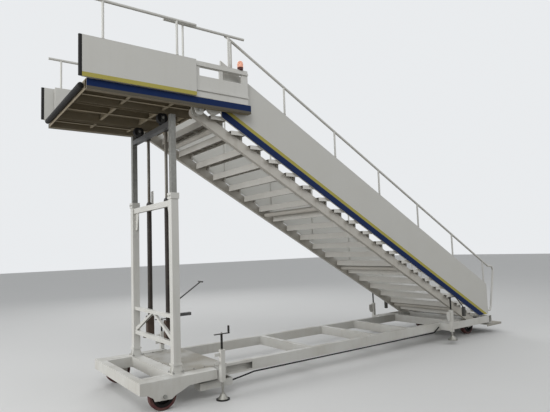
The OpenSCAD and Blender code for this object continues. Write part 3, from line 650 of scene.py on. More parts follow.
@dataclass
class Paintbox:
    """All finishes, built once and handed out by name."""

    made: dict[str, bpy.types.Material] = field(default_factory=dict)

    def recipes(self) -> list[Finish]:
        """Lists the finishes of the stairs.

        Returns:
            One finish for each material name.
        """
        panel_edge = nosing_z(1.22) - PANEL_LOW + SLOPE * x_at(1.22)
        return [
            Enamel("white_paint", WHITE),
            # white_underside is white_paint made darker and yellower, with more dust: partly dust, partly
            # painted shade, for the stringers and tread brackets.
            Enamel("white_underside", (0.53, 0.51, 0.465), dust=0.5),
            # The treads' faces that look down are painted dark brown as shade.
            Enamel("tread_enamel", (0.64, 0.63, 0.595), dust=0.22, chips=0.3, dust_top=0.5,
                   chequer=True, under=(0.12, 0.10, 0.075)),
            Underside("platform_grime"),
            Underside("flange_grime", grime=(0.40, 0.345, 0.245)),
            Enamel("chequer_deck", (0.35, 0.342, 0.31), roughness=0.5, dust=0.55, chips=0.5,
                   chequer=True),
            StripedEnamel("panel_paint", WHITE, dust=0.04, chips=0.05, gloss=0.1, coat=0.0,
                          origin=panel_edge, blue=(-0.3, 0.112), yellow=(0.112, 0.172)),
            StripedEnamel("screen_paint", WHITE, dust=0.10, chips=0.05, gloss=0.2, coat=0.03,
                          slope=0.0, origin=FLOOR_SKIN, blue=(-1.0, -0.5), yellow=(-0.1, 0.052),
                          outside=1.095),
            # On the fascia's outward faces, the dark brown under the blue band stands for the arm's
            # underside: the brown of its grime, with painted shade.
            StripedEnamel("fascia_paint", (0.105, 0.095, 0.075), dust=0.05, chips=0.06, gloss=0.1,
                          coat=0.0, slope=0.0, origin=3.868, blue=(0.037, 0.4),
                          yellow=(-0.3, -0.2), outside=1.0),
            Zinc("galvanised", (0.24, 0.24, 0.225)),
            Zinc("zinc_screw", (0.33, 0.325, 0.295), 160.0, 0.40, 0.5, thread_over=0.30),
            Zinc("fastener", (0.36, 0.36, 0.34), 220.0, 0.42, 0.45),
            OiledSteel("rod_steel"),
            Enamel("dark_steel", (0.035, 0.036, 0.038), roughness=0.45, dust=0.25, chips=0.3),
            Primer("barrel_brown"),
            CastCore("wheel_core"),
            Elastomer("tread_maroon", (0.085, 0.020, 0.024), dust=0.30, roughness=0.5, dust_top=0.06),
            Elastomer("black_rubber", (0.011, 0.011, 0.0115), dust=0.03),
            Elastomer("grip_rubber", (0.016, 0.016, 0.017), dust=0.10, roughness=0.5),
            LampBody("lamp_orange"),
        ]

    def mix(self) -> None:
        """Builds every finish."""
        self.made = {recipe.name: recipe.build() for recipe in self.recipes()}

    def __getitem__(self, name: str) -> bpy.types.Material:
        """The finish of that name."""
        return self.made[name]


# ---------------------------------------------------------------- shapes


@dataclass
class Shop:
    """Turns meshes into finished pieces: material, body and record slot."""

    paint: Paintbox
    pieces: int = 0

    def finish(self, piece: bpy.types.Object, body: str, slot: str,
               paint: str | None = None, *stands_for: str) -> bpy.types.Object:
        """Hands a piece to its body.

        Args:
            piece: the object, already in its place.
            body: the CAD body that it moves with.
            slot: the record's material slot.
            paint: the finish, if it isn't the slot's own.
            stands_for: CAD nodes that the piece replaces.

        Returns:
            The same object.
        """
        piece.data.materials.clear()
        piece.data.materials.append(self.paint[paint or slot])
        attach(piece, body)
        if stands_for:
            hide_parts(*stands_for)
        self.pieces += 1
        LOG.info("%s rides on %s, %d faces", piece.name, body, len(piece.data.polygons))
        return piece

    @staticmethod
    def mesh_object(name: str, mesh: bpy.types.Mesh) -> bpy.types.Object:
        """Links a mesh as an object at the origin.

        Args:
            name: the object's name.
            mesh: the mesh, in the shared frame.

        Returns:
            The new object.
        """
        made = bpy.data.objects.new(name, mesh)
        bpy.context.scene.collection.objects.link(made)
        return made

    @classmethod
    def from_shape(cls, name: str, shape: bmesh.types.BMesh, angle: float = 35.0) -> bpy.types.Object:
        """Turns a shape into an object, smooth but for its sharp edges, and frees the shape.

        Args:
            name: the piece's name.
            shape: the faces, in their place.
            angle: edges over this many degrees stay sharp.

        Returns:
            The new object.
        """
        bmesh.ops.recalc_face_normals(shape, faces=shape.faces)
        mesh = bpy.data.meshes.new(name)
        shape.to_mesh(mesh)
        shape.free()
        mesh.shade_smooth()
        mesh.set_sharp_from_angle(angle=math.radians(angle))
        return cls.mesh_object(name, mesh)

    def lathe(self, name: str, profile: Sequence[tuple[float, float]], place: Matrix,
              steps: int = 32) -> bpy.types.Object:
        """Turns a profile round its own Z axis.

        Args:
            name: the piece's name.
            profile: (radius, height) pairs from one end to the other.
            place: where the turned shape goes.
            steps: number of sides.

        Returns:
            The new object, closed at both ends.
        """
        shape = bmesh.new()
        turns = [(math.cos(2 * math.pi * i / steps), math.sin(2 * math.pi * i / steps))
                 for i in range(steps)]
        rings = [[shape.verts.new((radius * u, radius * v, height)) for u, v in turns]
                 if radius > 1e-6 else [shape.verts.new((0.0, 0.0, height))]
                 for radius, height in profile]
        for low, high in zip(rings, rings[1:]):
            for i in range(steps):
                j = (i + 1) % steps
                corners = [low[i % len(low)], low[j % len(low)], high[j % len(high)], high[i % len(high)]]
                unique = list(dict.fromkeys(corners))
                if len(unique) > 2:
                    shape.faces.new(unique)
        if len(rings[0]) > 1:
            shape.faces.new(list(reversed(rings[0])))
        if len(rings[-1]) > 1:
            shape.faces.new(rings[-1])
        shape.transform(place)
        return self.from_shape(name, shape)


class Repeat(Graph):
    """A Geometry Nodes tree with named sizes, which ends in plain geometry of one material."""

    def __init__(self, name: str, sizes: dict[str, float | int]) -> None:
        """Makes the tree and its interface.

        Args:
            name: the tree's name.
            sizes: default of each named input; a whole number makes an integer input.
        """
        tree = bpy.data.node_groups.new(name, "GeometryNodeTree")
        super().__init__(tree)
        tree.interface.new_socket("Geometry", in_out="INPUT", socket_type="NodeSocketGeometry")
        self.identifiers: dict[str, str] = {}
        for label, default in sizes.items():
            kind = "NodeSocketInt" if isinstance(default, int) else "NodeSocketFloat"
            made = tree.interface.new_socket(label, in_out="INPUT", socket_type=kind)
            made.default_value = default
            self.identifiers[label] = made.identifier
        made = tree.interface.new_socket("Material", in_out="INPUT", socket_type="NodeSocketMaterial")
        self.identifiers["Material"] = made.identifier
        tree.interface.new_socket("Geometry", in_out="OUTPUT", socket_type="NodeSocketGeometry")
        self.start = self.node("NodeGroupInput").outputs

    def scaled(self, socket: Any, factor: float = 0.5, plus: Any = 0.0) -> bpy.types.NodeSocket:
        """A socket times a factor plus another."""
        return self.socket("ShaderNodeMath", {"operation": "MULTIPLY_ADD"}, {0: socket, 1: factor, 2: plus})

    def cylinder(self, sides: int, radius: Any, depth: Any, height: Any) -> bpy.types.NodeSocket:
        """A closed cylinder round the point's own axis.

        Args:
            sides: number of sides.
            radius: a socket or number.
            depth: its length, a socket or number.
            height: where its middle stands, a socket or number.

        Returns:
            The socket of the shape.
        """
        made = self.socket("GeometryNodeMeshCylinder", {"fill_type": "NGON"},
                           {"Vertices": sides, "Radius": radius, "Depth": depth})
        shift = self.socket("ShaderNodeCombineXYZ", values={2: height})
        return self.socket("GeometryNodeTransform", values={"Geometry": made, "Translation": shift})

    def circle(self, sides: int, radius: Any) -> bpy.types.NodeSocket:
        """A closed curve of even steps."""
        return self.socket("GeometryNodeCurvePrimitiveCircle",
                           values={"Resolution": sides, "Radius": radius})

    def smooth(self, shape: bpy.types.NodeSocket) -> bpy.types.NodeSocket:
        """The shape, shaded smooth."""
        return self.socket("GeometryNodeSetShadeSmooth", values={"Geometry": shape})

    def place(self, shape: bpy.types.NodeSocket) -> None:
        """Ends the tree with the shape on every carrier point, turned by its attribute.

        Args:
            shape: the socket of the shape.
        """
        turn = self.socket("GeometryNodeInputNamedAttribute", {"data_type": "FLOAT_VECTOR"},
                           {"Name": "turn"})
        points = self.socket("GeometryNodeMeshToPoints", values={"Mesh": self.start["Geometry"]})
        self.close(self.socket("GeometryNodeInstanceOnPoints",
                               values={"Points": points, "Instance": shape, "Rotation": turn}))

    def close(self, result: bpy.types.NodeSocket) -> None:
        """Ends the tree in Realize Instances and Set Material.

        Args:
            result: the socket of the finished geometry.
        """
        real = self.socket("GeometryNodeRealizeInstances", values={0: result})
        painted = self.socket("GeometryNodeSetMaterial",
                              values={"Geometry": real, "Material": self.start["Material"]})
        self.node("NodeGroupOutput", values={0: painted})

    def apply(self, name: str, carrier: bpy.types.Mesh, material: bpy.types.Material,
              sizes: dict[str, Any]) -> bpy.types.Object:
        """Runs the tree on a mesh of points or edges and keeps the result as a plain mesh.

        Args:
            name: the piece's name.
            carrier: points or edges that carry the shapes.
            material: what Set Material hands out.
            sizes: values of the named inputs.

        Returns:
            The new object.
        """
        holder = Shop.mesh_object(name + "_carrier", carrier)
        modifier = holder.modifiers.new("repeat", "NODES")
        modifier.node_group = self.tree
        for label, value in sizes.items():
            modifier[self.identifiers[label]] = value
        modifier[self.identifiers["Material"]] = material
        graph = bpy.context.evaluated_depsgraph_get()
        mesh = bpy.data.meshes.new_from_object(holder.evaluated_get(graph), depsgraph=graph)
        mesh.name = name
        bpy.data.objects.remove(holder)
        return Shop.mesh_object(name, mesh)


@dataclass(frozen=True)
class Spot:
    """A place with a direction that points out of the surface."""

    at: Point
    out: Point = (0.0, 0.0, 1.0)
    spin: float = 0.0


def outward(side: Side, station: float, y: float, z: float, spin: float = 0.0) -> Spot:
    """A spot on one side that faces away from the middle."""
    return Spot((x_at(station), side.value * y, z), (0, side.value, 0), spin)


def line(side: Side, *points: Point) -> list[Point]:
    """A line on one side of the stairs.

    Args:
        side: the side.
        points: station, distance from the middle and height of each point.

    Returns:
        The points in the shared frame.
    """
    return [(x_at(station), side.value * y, z) for station, y, z in points]


def upright(side: Side, station: float, y: float, low: float, top: float) -> list[Point]:
    """An upright line on one side."""
    return line(side, (station, y, low), (station, y, top))


def level(side: Side, start: float, end: float, y: float, z: float) -> list[Point]:
    """A level line along one side, from station to station."""
    return line(side, (start, y, z), (end, y, z))


def loop(side: Side, start: float, end: float, y: float, low: float, top: float) -> list[Point]:
    """An upright rectangle along one side."""
    return line(side, (start, y, low), (end, y, low), (end, y, top), (start, y, top))


def stations(first: float, limit: float, pitch: float) -> list[float]:
    """Lists stations at an even pitch.

    Args:
        first: the first station.
        limit: the stations stay below it.
        pitch: the distance from one to the next.

    Returns:
        The stations, each the one before plus the pitch.
    """
    found = []
    while first < limit:
        found.append(first)
        first += pitch
    return found


def spots_mesh(name: str, spots: Iterable[Spot]) -> bpy.types.Mesh:
    """Points with a turn attribute, for trees that place shapes on points.

    Args:
        name: the mesh's name.
        spots: where the shapes go.

    Returns:
        A mesh without faces.
    """
    spots = list(spots)
    mesh = bpy.data.meshes.new(name)
    mesh.from_pydata([spot.at for spot in spots], [], [])
    turns = mesh.attributes.new("turn", "FLOAT_VECTOR", "POINT")
    for i, spot in enumerate(spots):
        turn = Vector(spot.out).to_track_quat("Z", "Y").to_matrix() @ Matrix.Rotation(spot.spin, 3, "Z")
        turns.data[i].vector = tuple(turn.to_euler())
    return mesh


def lines_mesh(name: str, lines: Iterable[Sequence[Point]], closed: bool = False) -> bpy.types.Mesh:
    """Edges along several lines of points.

    Args:
        name: the mesh's name.
        lines: each line's points.
        closed: whether the last point joins the first.

    Returns:
        A mesh of edges.
    """
    points: list[Point] = []
    edges: list[tuple[int, int]] = []
    for line in lines:
        first = len(points)
        points.extend(line)
        edges.extend((first + i, first + i + 1) for i in range(len(line) - 1))
        if closed:
            edges.append((first + len(line) - 1, first))
    mesh = bpy.data.meshes.new(name)
    mesh.from_pydata(points, edges, [])
    return mesh


@dataclass
class Hardware:
    """The trees for bolts, rivets, collars and weld beads."""

    shop: Shop
    trees: dict[str, Repeat] = field(default_factory=dict)

    def prepare(self) -> None:
        """Builds the trees."""
        self.trees = {"bolt": self._bolt(), "rivet": self._rivet(), "ring": self._ring(),
                      "bead": self._bead()}

    @staticmethod
    def _bolt() -> Repeat:
        """Hexagon head on a washer with a short thread end.

        Returns:
            The finished tree.
        """
        tree = Repeat("bolt_tree", {"Across": 0.016, "Head": 0.008, "Washer": 0.002})
        across, head, washer = (tree.start[name] for name in ("Across", "Head", "Washer"))
        low = tree.cylinder(18, tree.scaled(across, 0.72), washer, tree.scaled(washer))
        middle = tree.cylinder(6, tree.scaled(across, 0.577), head, tree.scaled(head, 0.5, washer))
        top = tree.cylinder(12, tree.scaled(across, 0.30), tree.scaled(head),
                            tree.scaled(head, 1.1, washer))
        joined = tree.node("GeometryNodeJoinGeometry")
        for piece in (top, middle, low):
            tree.tree.links.new(piece, joined.inputs[0])
        tree.place(joined.outputs[0])
        return tree

    @staticmethod
    def _rivet() -> Repeat:
        """Low round head.

        Returns:
            The finished tree.
        """
        tree = Repeat("rivet_tree", {"Radius": 0.006})
        dome = tree.socket("GeometryNodeMeshUVSphere",
                           values={"Segments": 12, "Rings": 6, "Radius": tree.start["Radius"]})
        flat = tree.socket("GeometryNodeTransform", values={"Geometry": dome, "Scale": (1, 1, 0.42)})
        tree.place(tree.smooth(flat))
        return tree

    @staticmethod
    def _ring() -> Repeat:
        """Round collar or fillet that stands round an axis.

        Returns:
            The finished tree.
        """
        tree = Repeat("ring_tree", {"Radius": 0.02, "Thick": 0.004})
        path, section = tree.circle(20, tree.start["Radius"]), tree.circle(8, tree.start["Thick"])
        tree.place(tree.smooth(tree.socket("GeometryNodeCurveToMesh", values={0: path, 1: section})))
        return tree

    @staticmethod
    def _bead() -> Repeat:
        """Weld bead along edges, with scales along it and a small wander.

        Returns:
            The finished tree.
        """
        tree = Repeat("bead_tree", {"Radius": 0.005, "Step": 0.008, "Wander": 0.001, "Seed": 7})
        curve = tree.socket("GeometryNodeMeshToCurve", values={"Mesh": tree.start["Geometry"]})
        even = tree.socket("GeometryNodeResampleCurve", {"mode": "LENGTH"},
                           {"Curve": curve, "Length": tree.start["Step"]})
        random = tree.socket("FunctionNodeRandomValue", {"data_type": "FLOAT_VECTOR"},
                             {0: (-1.0, -1.0, -1.0), 1: (1.0, 1.0, 1.0), "Seed": tree.start["Seed"]})
        shift = tree.socket("ShaderNodeVectorMath", {"operation": "SCALE"},
                            {0: random, "Scale": tree.start["Wander"]})
        moved = tree.socket("GeometryNodeSetPosition", values={"Geometry": even, "Offset": shift})
        odd = tree.socket("ShaderNodeMath", {"operation": "PINGPONG"},
                          {0: tree.socket("GeometryNodeInputIndex"), 1: 1.0})
        tube = tree.socket("GeometryNodeCurveToMesh", values={
            "Curve": moved, "Profile Curve": tree.circle(6, tree.start["Radius"]),
            "Scale": tree.scaled(odd, 0.22, 0.84), "Fill Caps": True})
        tree.close(tree.smooth(tube))
        return tree

    def _make(self, tree: str, name: str, body: str, carrier: bpy.types.Mesh, sizes: dict[str, Any],
              slot: str = "white_paint", paint: str | None = None) -> bpy.types.Object:
        """Runs a tree and hands the piece to its body.

        Args:
            tree: which tree.
            name: the piece's name.
            body: the CAD body that it moves with.
            carrier: points or edges that carry the shapes.
            sizes: values of the tree's named inputs.
            slot: the record's material slot.
            paint: the finish, if it isn't the slot's own.

        Returns:
            The new piece.
        """
        made = self.trees[tree].apply(name, carrier, self.shop.paint[paint or slot], sizes)
        return self.shop.finish(made, body, slot, paint)

    def bolts(self, name: str, body: str, spots: Iterable[Spot], across: float) -> bpy.types.Object:
        """Bolt heads of one size on one body."""
        sizes = {"Across": across, "Head": across * 0.45, "Washer": across * 0.12}
        return self._make("bolt", name, body, spots_mesh(name, spots), sizes, "zinc_screw", "fastener")

    def rivets(self, name: str, body: str, spots: Iterable[Spot], radius: float,
               paint: str | None = None) -> bpy.types.Object:
        """Round heads of one size on one body."""
        return self._make("rivet", name, body, spots_mesh(name, spots), {"Radius": radius}, paint=paint)

    def rings(self, name: str, body: str, spots: Iterable[Spot], radius: float,
              thick: float = 0.0042) -> bpy.types.Object:
        """Collars of one size on one body."""
        return self._make("ring", name, body, spots_mesh(name, spots), {"Radius": radius, "Thick": thick})

    def beads(self, name: str, body: str, lines: Iterable[Sequence[Point]], radius: float,
              closed: bool = False, seed: int = 7) -> bpy.types.Object:
        """Weld beads along lines on one body."""
        sizes = {"Radius": radius, "Step": 0.009, "Wander": radius * 0.16, "Seed": seed}
        return self._make("bead", name, body, lines_mesh(name, lines, closed), sizes)


# ---------------------------------------------------------------- sub-assemblies


@dataclass
class Assembly:
    """A part of the stairs whose small pieces come from the shop and the hardware trees."""

    shop: Shop
    hardware: Hardware

    def build(self) -> None:
        """Adds the small pieces."""
        raise NotImplementedError


@dataclass
class Undercarriage(Assembly):
    """Welds, bolts and nuts of the chassis."""

    rail_in: float = 0.676
    rail_out: float = 0.756
    plate_out: float = 0.924
    frame_top: float = 0.380
    frame_low: float = 0.230
    members: tuple[tuple[float, float], ...] = ((0.48, 0.16), (2.83, 0.08), (4.29, 0.08), (5.18, 0.08),
                                                (6.48, 0.08), (6.99, 0.08))
    deck_bolts: tuple[float, ...] = (0.668, 0.823, 0.978, 1.133, 1.280, 7.130, 7.255, 7.380, 7.505, 7.630)
    deck_bolt: tuple[float, float] = (0.715, 0.386)
    front_beam: float = 0.10
    rear_beam: float = 7.55
    rear_lugs: tuple[float, float] = (7.49, 7.54)
    lug_low: float = 0.2295
    plate_seams: tuple[tuple[float, float], ...] = ((0.12, 1.04), (6.22, 6.55))
    plate_top: float = 0.3805
    axle_end: float = 0.948
    foot_pin_end: float = 0.880
    nut_across: float = 0.036
    hub_half: float = 0.074

    def build(self) -> None:
        """Adds welds and bolts to the chassis."""
        loops = [loop(side, start, start + width, self.rail_in, self.frame_low, self.frame_top)
                 for start, width in self.members for side in Side]
        self.hardware.beads("member_welds", "chassis", loops, 0.0045, closed=True)
        lines, rails = [], (self.rail_in, self.rail_out)
        for side in Side:
            lines += [upright(side, self.front_beam, y, 0.242, 0.384) for y in rails]
            lines += [upright(side, self.rear_beam, y, self.frame_low, self.frame_top) for y in rails]
            lines += [level(side, *self.rear_lugs, y, self.lug_low) for y in rails]
            lines.append(upright(side, self.front_beam, self.plate_out, 0.232, 0.372))
            lines.append(upright(side, self.rear_beam, self.plate_out, 0.250, 0.372))
            lines += [level(side, *ends, self.rail_out, self.plate_top) for ends in self.plate_seams]
        self.hardware.beads("beam_welds", "chassis", lines, 0.004, seed=11)
        self.hardware.bolts("deck_bolts", "chassis", [
            Spot((x_at(x), side.value * self.deck_bolt[0], self.deck_bolt[1]))
            for side in Side for x in self.deck_bolts], 0.017)
        self.hardware.bolts("axle_nuts", "chassis", [
            outward(side, FRONT_AXLE, self.axle_end, WHEEL_Z, 0.3 * side.value) for side in Side],
            self.nut_across)
        self.hardware.bolts("rear_axle_nuts", "chassis", [
            Spot((x_at(REAR_AXLE), side.value * (REAR_WHEEL_Y + s * self.hub_half), WHEEL_Z),
                 (0, side.value * s, 0), 0.2) for side in Side for s in (-1, 1)], self.nut_across)
        self.hardware.bolts("foot_pin_nuts", "chassis", [
            outward(side, FOOT_X, self.foot_pin_end, FOOT_Z, 0.4) for side in Side], 0.042)


@dataclass
class Mast(Assembly):
    """Bolts, welds and cylinder glands of the mast."""

    station: float = 0.56
    y: float = 0.730
    half: float = 0.050
    foot_top: float = 0.392
    foot_bolt: float = 0.066
    collar: Point = (0.060, 0.034, 2.69)
    tubes: tuple[Point, ...] = ((0.025, 1.075, 1.125), (0.025, 0.714, 0.774), (0.030, 2.56, 2.64))
    roller: Point = (0.53, 0.455, 3.808)
    roller_half: float = 0.054
    gland: Point = (0.64, 0.330, 2.680)

    def build(self) -> None:
        """Adds bolts, welds and glands."""
        x, corners = x_at(self.station), [(side, i, j) for side in Side for i in (-1, 1) for j in (-1, 1)]
        self.hardware.bolts("column_foot_bolts", "chassis", [
            Spot((x + i * self.foot_bolt, side.value * self.y + j * self.foot_bolt, self.foot_top),
                 spin=0.3 * i + j) for side, i, j in corners], 0.024)
        self.hardware.bolts("collar_bolts", "chassis", [
            Spot((x + i * self.collar[0], side.value * self.y + j * self.collar[1], self.collar[2]),
                 (i, 0, 0), 0.4 * j)
            for side, i, j in corners], 0.015)
        loops = []
        for side in Side:
            loops += [loop(side, self.station - half, self.station + half, self.y - self.half, low, top)
                      for half, low, top in self.tubes]
            y = side.value * self.y
            loops.append([(x + i * self.half, y + j * self.half, self.foot_top)
                          for i, j in ((-1, -1), (1, -1), (1, 1), (-1, 1))])
        self.hardware.beads("mast_welds", "chassis", loops, 0.004, closed=True, seed=3)
        station, y, z = self.roller
        self.hardware.bolts("roller_nuts", "mast", [
            Spot((x_at(station), side.value * (y + s * self.roller_half), z), (0, side.value * s, 0), 0.5)
            for side in Side for s in (-1, 1)], 0.026)
        for side in Side:
            gland = self.shop.lathe(
                "gland_%s" % side.word,
                [(0.0235, 0.0), (0.0375, 0.0), (0.0375, 0.010), (0.033, 0.013), (0.033, 0.020),
                 (0.028, 0.026), (0.0235, 0.026)],
                Matrix.Translation(line(side, self.gland)[0]))
            self.shop.finish(gland, "chassis", "dark_steel")


@dataclass(frozen=True)
class Crank:
    """One kind of crank: its jack's station, the grip's reach, lower end and size, and the nut."""

    end: str
    station: float
    reach: float
    grip_low: float
    grip_length: float
    grip_radius: float
    nut_z: float


@dataclass
class Jacks(Assembly):
    """Grips, nuts and welds of the four screw jacks."""

    cranks: tuple[Crank, ...] = (Crank("front", FRONT_JACK, 0.108, 0.856, 0.086, 0.0145, 0.850),
                                 Crank("rear", REAR_JACK, 0.420, 0.482, 0.174, 0.0385, 0.890))
    crank_y: float = 1.0
    ear_low: float = 0.250
    ear_top: float = 0.370
    ear_ends: tuple[float, float] = (0.7565, 0.9695)
    ear_half: float = 0.020
    ribs: int = 9

    def grip(self, name: str, body: str, place: Matrix, length: float, radius: float) -> None:
        """A ribbed rubber grip on a crank pin.

        Args:
            name: the piece's name.
            body: the jack that it moves with.
            place: where its lower end stands.
            length: its length.
            radius: its radius over the ribs.
        """
        profile, step = [(radius * 0.7, 0.0), (radius, 0.003)], (length - 0.012) / self.ribs
        for i in range(self.ribs):
            base = 0.006 + (length - 0.012) * i / self.ribs
            profile += [(radius * share, base + step * part)
                        for share, part in ((1.0, 0.0), (1.0, 0.55), (0.93, 0.65), (0.93, 0.9))]
        profile += [(radius, length - 0.004), (radius * 0.75, length)]
        made = self.shop.lathe(name, profile, place, 24)
        self.shop.finish(made, body, "black_rubber", "grip_rubber")

    def build(self) -> None:
        """Adds the grips, the nuts that hold the cranks, and the welds of the ears."""
        for side in Side:
            y = side.value * self.crank_y
            for crank in self.cranks:
                self.grip("%s_grip_%s" % (crank.end, side.word), "jack_%s_%s" % (crank.end, side.word),
                          Matrix.Translation((x_at(crank.station) + crank.reach, y, crank.grip_low)),
                          crank.grip_length, crank.grip_radius)
            for crank in self.cranks:
                self.hardware.bolts("%s_crank_nut_%s" % (crank.end, side.word),
                                    "jack_%s_%s" % (crank.end, side.word),
                                    [Spot((x_at(crank.station), y, crank.nut_z))], 0.022)
        lines = [upright(side, crank.station + s * self.ear_half, y, self.ear_low, self.ear_top)
                 for side in Side for crank in self.cranks for s in (-1, 1) for y in self.ear_ends]
        self.hardware.beads("jack_welds", "chassis", lines, 0.0065, seed=5)


@dataclass
class Wheels(Assembly):
    """Bolt circles of the four wheels."""

    radius: float = 0.072
    core_half: float = 0.0165
    count: int = 5

    def build(self) -> None:
        """Adds five bolts to each face of each wheel."""
        for end, station, y in (("front", FRONT_AXLE, FRONT_WHEEL_Y), ("rear", REAR_AXLE, REAR_WHEEL_Y)):
            for side in Side:
                spots = []
                for face in (-1, 1):
                    for angle in (2 * math.pi * i / self.count + 0.3 for i in range(self.count)):
                        spots.append(Spot((x_at(station) + self.radius * math.cos(angle),
                                           side.value * y + face * self.core_half,
                                           WHEEL_Z + self.radius * math.sin(angle)), (0, face, 0), angle))
                self.hardware.bolts("hub_bolts_%s_%s" % (end, side.word),
                                    "wheel_%s_%s" % (end, side.word), spots, 0.014)


@dataclass
class Flight(Assembly):
    """Bolts and welds of the tread brackets, rivets of the panels, collars and caps of the rails."""

    treads: int = 19
    post_pitch: float = 1.026
    first_posts: tuple[float, float] = (1.4, 2.342)
    bracket_y: float = 0.809
    bracket_half: float = 0.004
    bracket_bolts: tuple[tuple[float, ...], ...] = (
        (0.062, 0.829, 0.030, 0.3), (0.062, 0.829, 0.095, 0.3), (0.110, 0.813, 0.045, 0.5))
    panel_start: float = 1.22
    panel_end: float = 7.505
    panel_foot: float = 0.42
    rivet_row: tuple[float, float, float] = (1.42, 7.48, 0.342)
    cap_station: float = 1.32

    def build(self) -> None:
        """Adds the brackets', the panels' and the handrails' small pieces."""
        self.brackets()
        self.panels()
        self.handrails()

    def brackets(self) -> None:
        """Three bolts and four welds at each end of each tread.

        A row of bracket_bolts gives the distance behind the nose, the distance from the
        middle, the depth under the tread and the turn from one tread to the next.
        """
        bolts, welds = [], []
        for side in Side:
            for k in range(1, self.treads + 1):
                nose, z = FLOOR_END + GOING * k, FLOOR_Z - RISE * k
                bolts += [outward(side, nose - back, y, z - drop, spin * k)
                          for back, y, drop, spin in self.bracket_bolts]
                for face in (-1, 1):
                    y = self.bracket_y + side.value * face * self.bracket_half
                    welds.append(line(side, *((nose - d, y, hinge_z(nose - d) + 0.0785)
                                              for d in (0.255, 0.084))))
                    welds.append(level(side, nose - 0.25, nose - 0.09, y, z - 0.006))
        self.hardware.bolts("bracket_bolts", "stair", bolts, 0.013)
        self.hardware.beads("bracket_welds", "stair", welds, 0.0035, seed=21)

    def panels(self) -> None:
        """Rivets over the posts and under the panels' upper edge."""
        heads = []
        for side in Side:
            posts = [self.first_posts[1] - 0.02 + self.post_pitch * i for i in range(5)]
            for post in [self.panel_start, *posts, self.panel_end]:
                low = max(self.panel_foot, nosing_z(post) - PANEL_LOW) + 0.20
                top = nosing_z(post) + PANEL_TOP - 0.06
                heads += [outward(side, post + 0.02, PANEL_OUT, low + (top - low) * i / 3)
                          for i in range(4)]
            heads += [outward(side, station, PANEL_OUT, nosing_z(station) + PANEL_TOP - 0.024)
                      for station in stations(*self.rivet_row)]
        self.hardware.rivets("panel_rivets", "stair", heads, 0.0055)

    def handrails(self) -> None:
        """Collars at the posts' feet and a cap on each upper end."""
        first, second = self.first_posts
        posts = [first] + [second + self.post_pitch * i for i in range(6)]
        self.hardware.rings("post_feet", "stair", [
            Spot((x_at(x), side.value * RAIL_Y, nosing_z(x) + PANEL_TOP + 0.016), (SLOPE, 0, 1))
            for side in Side for x in posts], 0.0165)
        turn = Vector((-1, 0, SLOPE)).normalized().to_track_quat("Z", "Y").to_matrix().to_4x4()
        for side in Side:
            end = Matrix.Translation((x_at(self.cap_station), side.value * RAIL_Y,
                                      nosing_z(self.cap_station) + RAIL_TOP))
            cap = self.shop.lathe("rail_cap_%s" % side.word,
                                  [(0.0198, -0.004), (0.0206, -0.002), (0.0206, 0.002), (0.018, 0.010),
                                   (0.012, 0.0155), (0.0, 0.018)], end @ turn, 24)
            self.shop.finish(cap, "stair", "black_rubber", "grip_rubber")


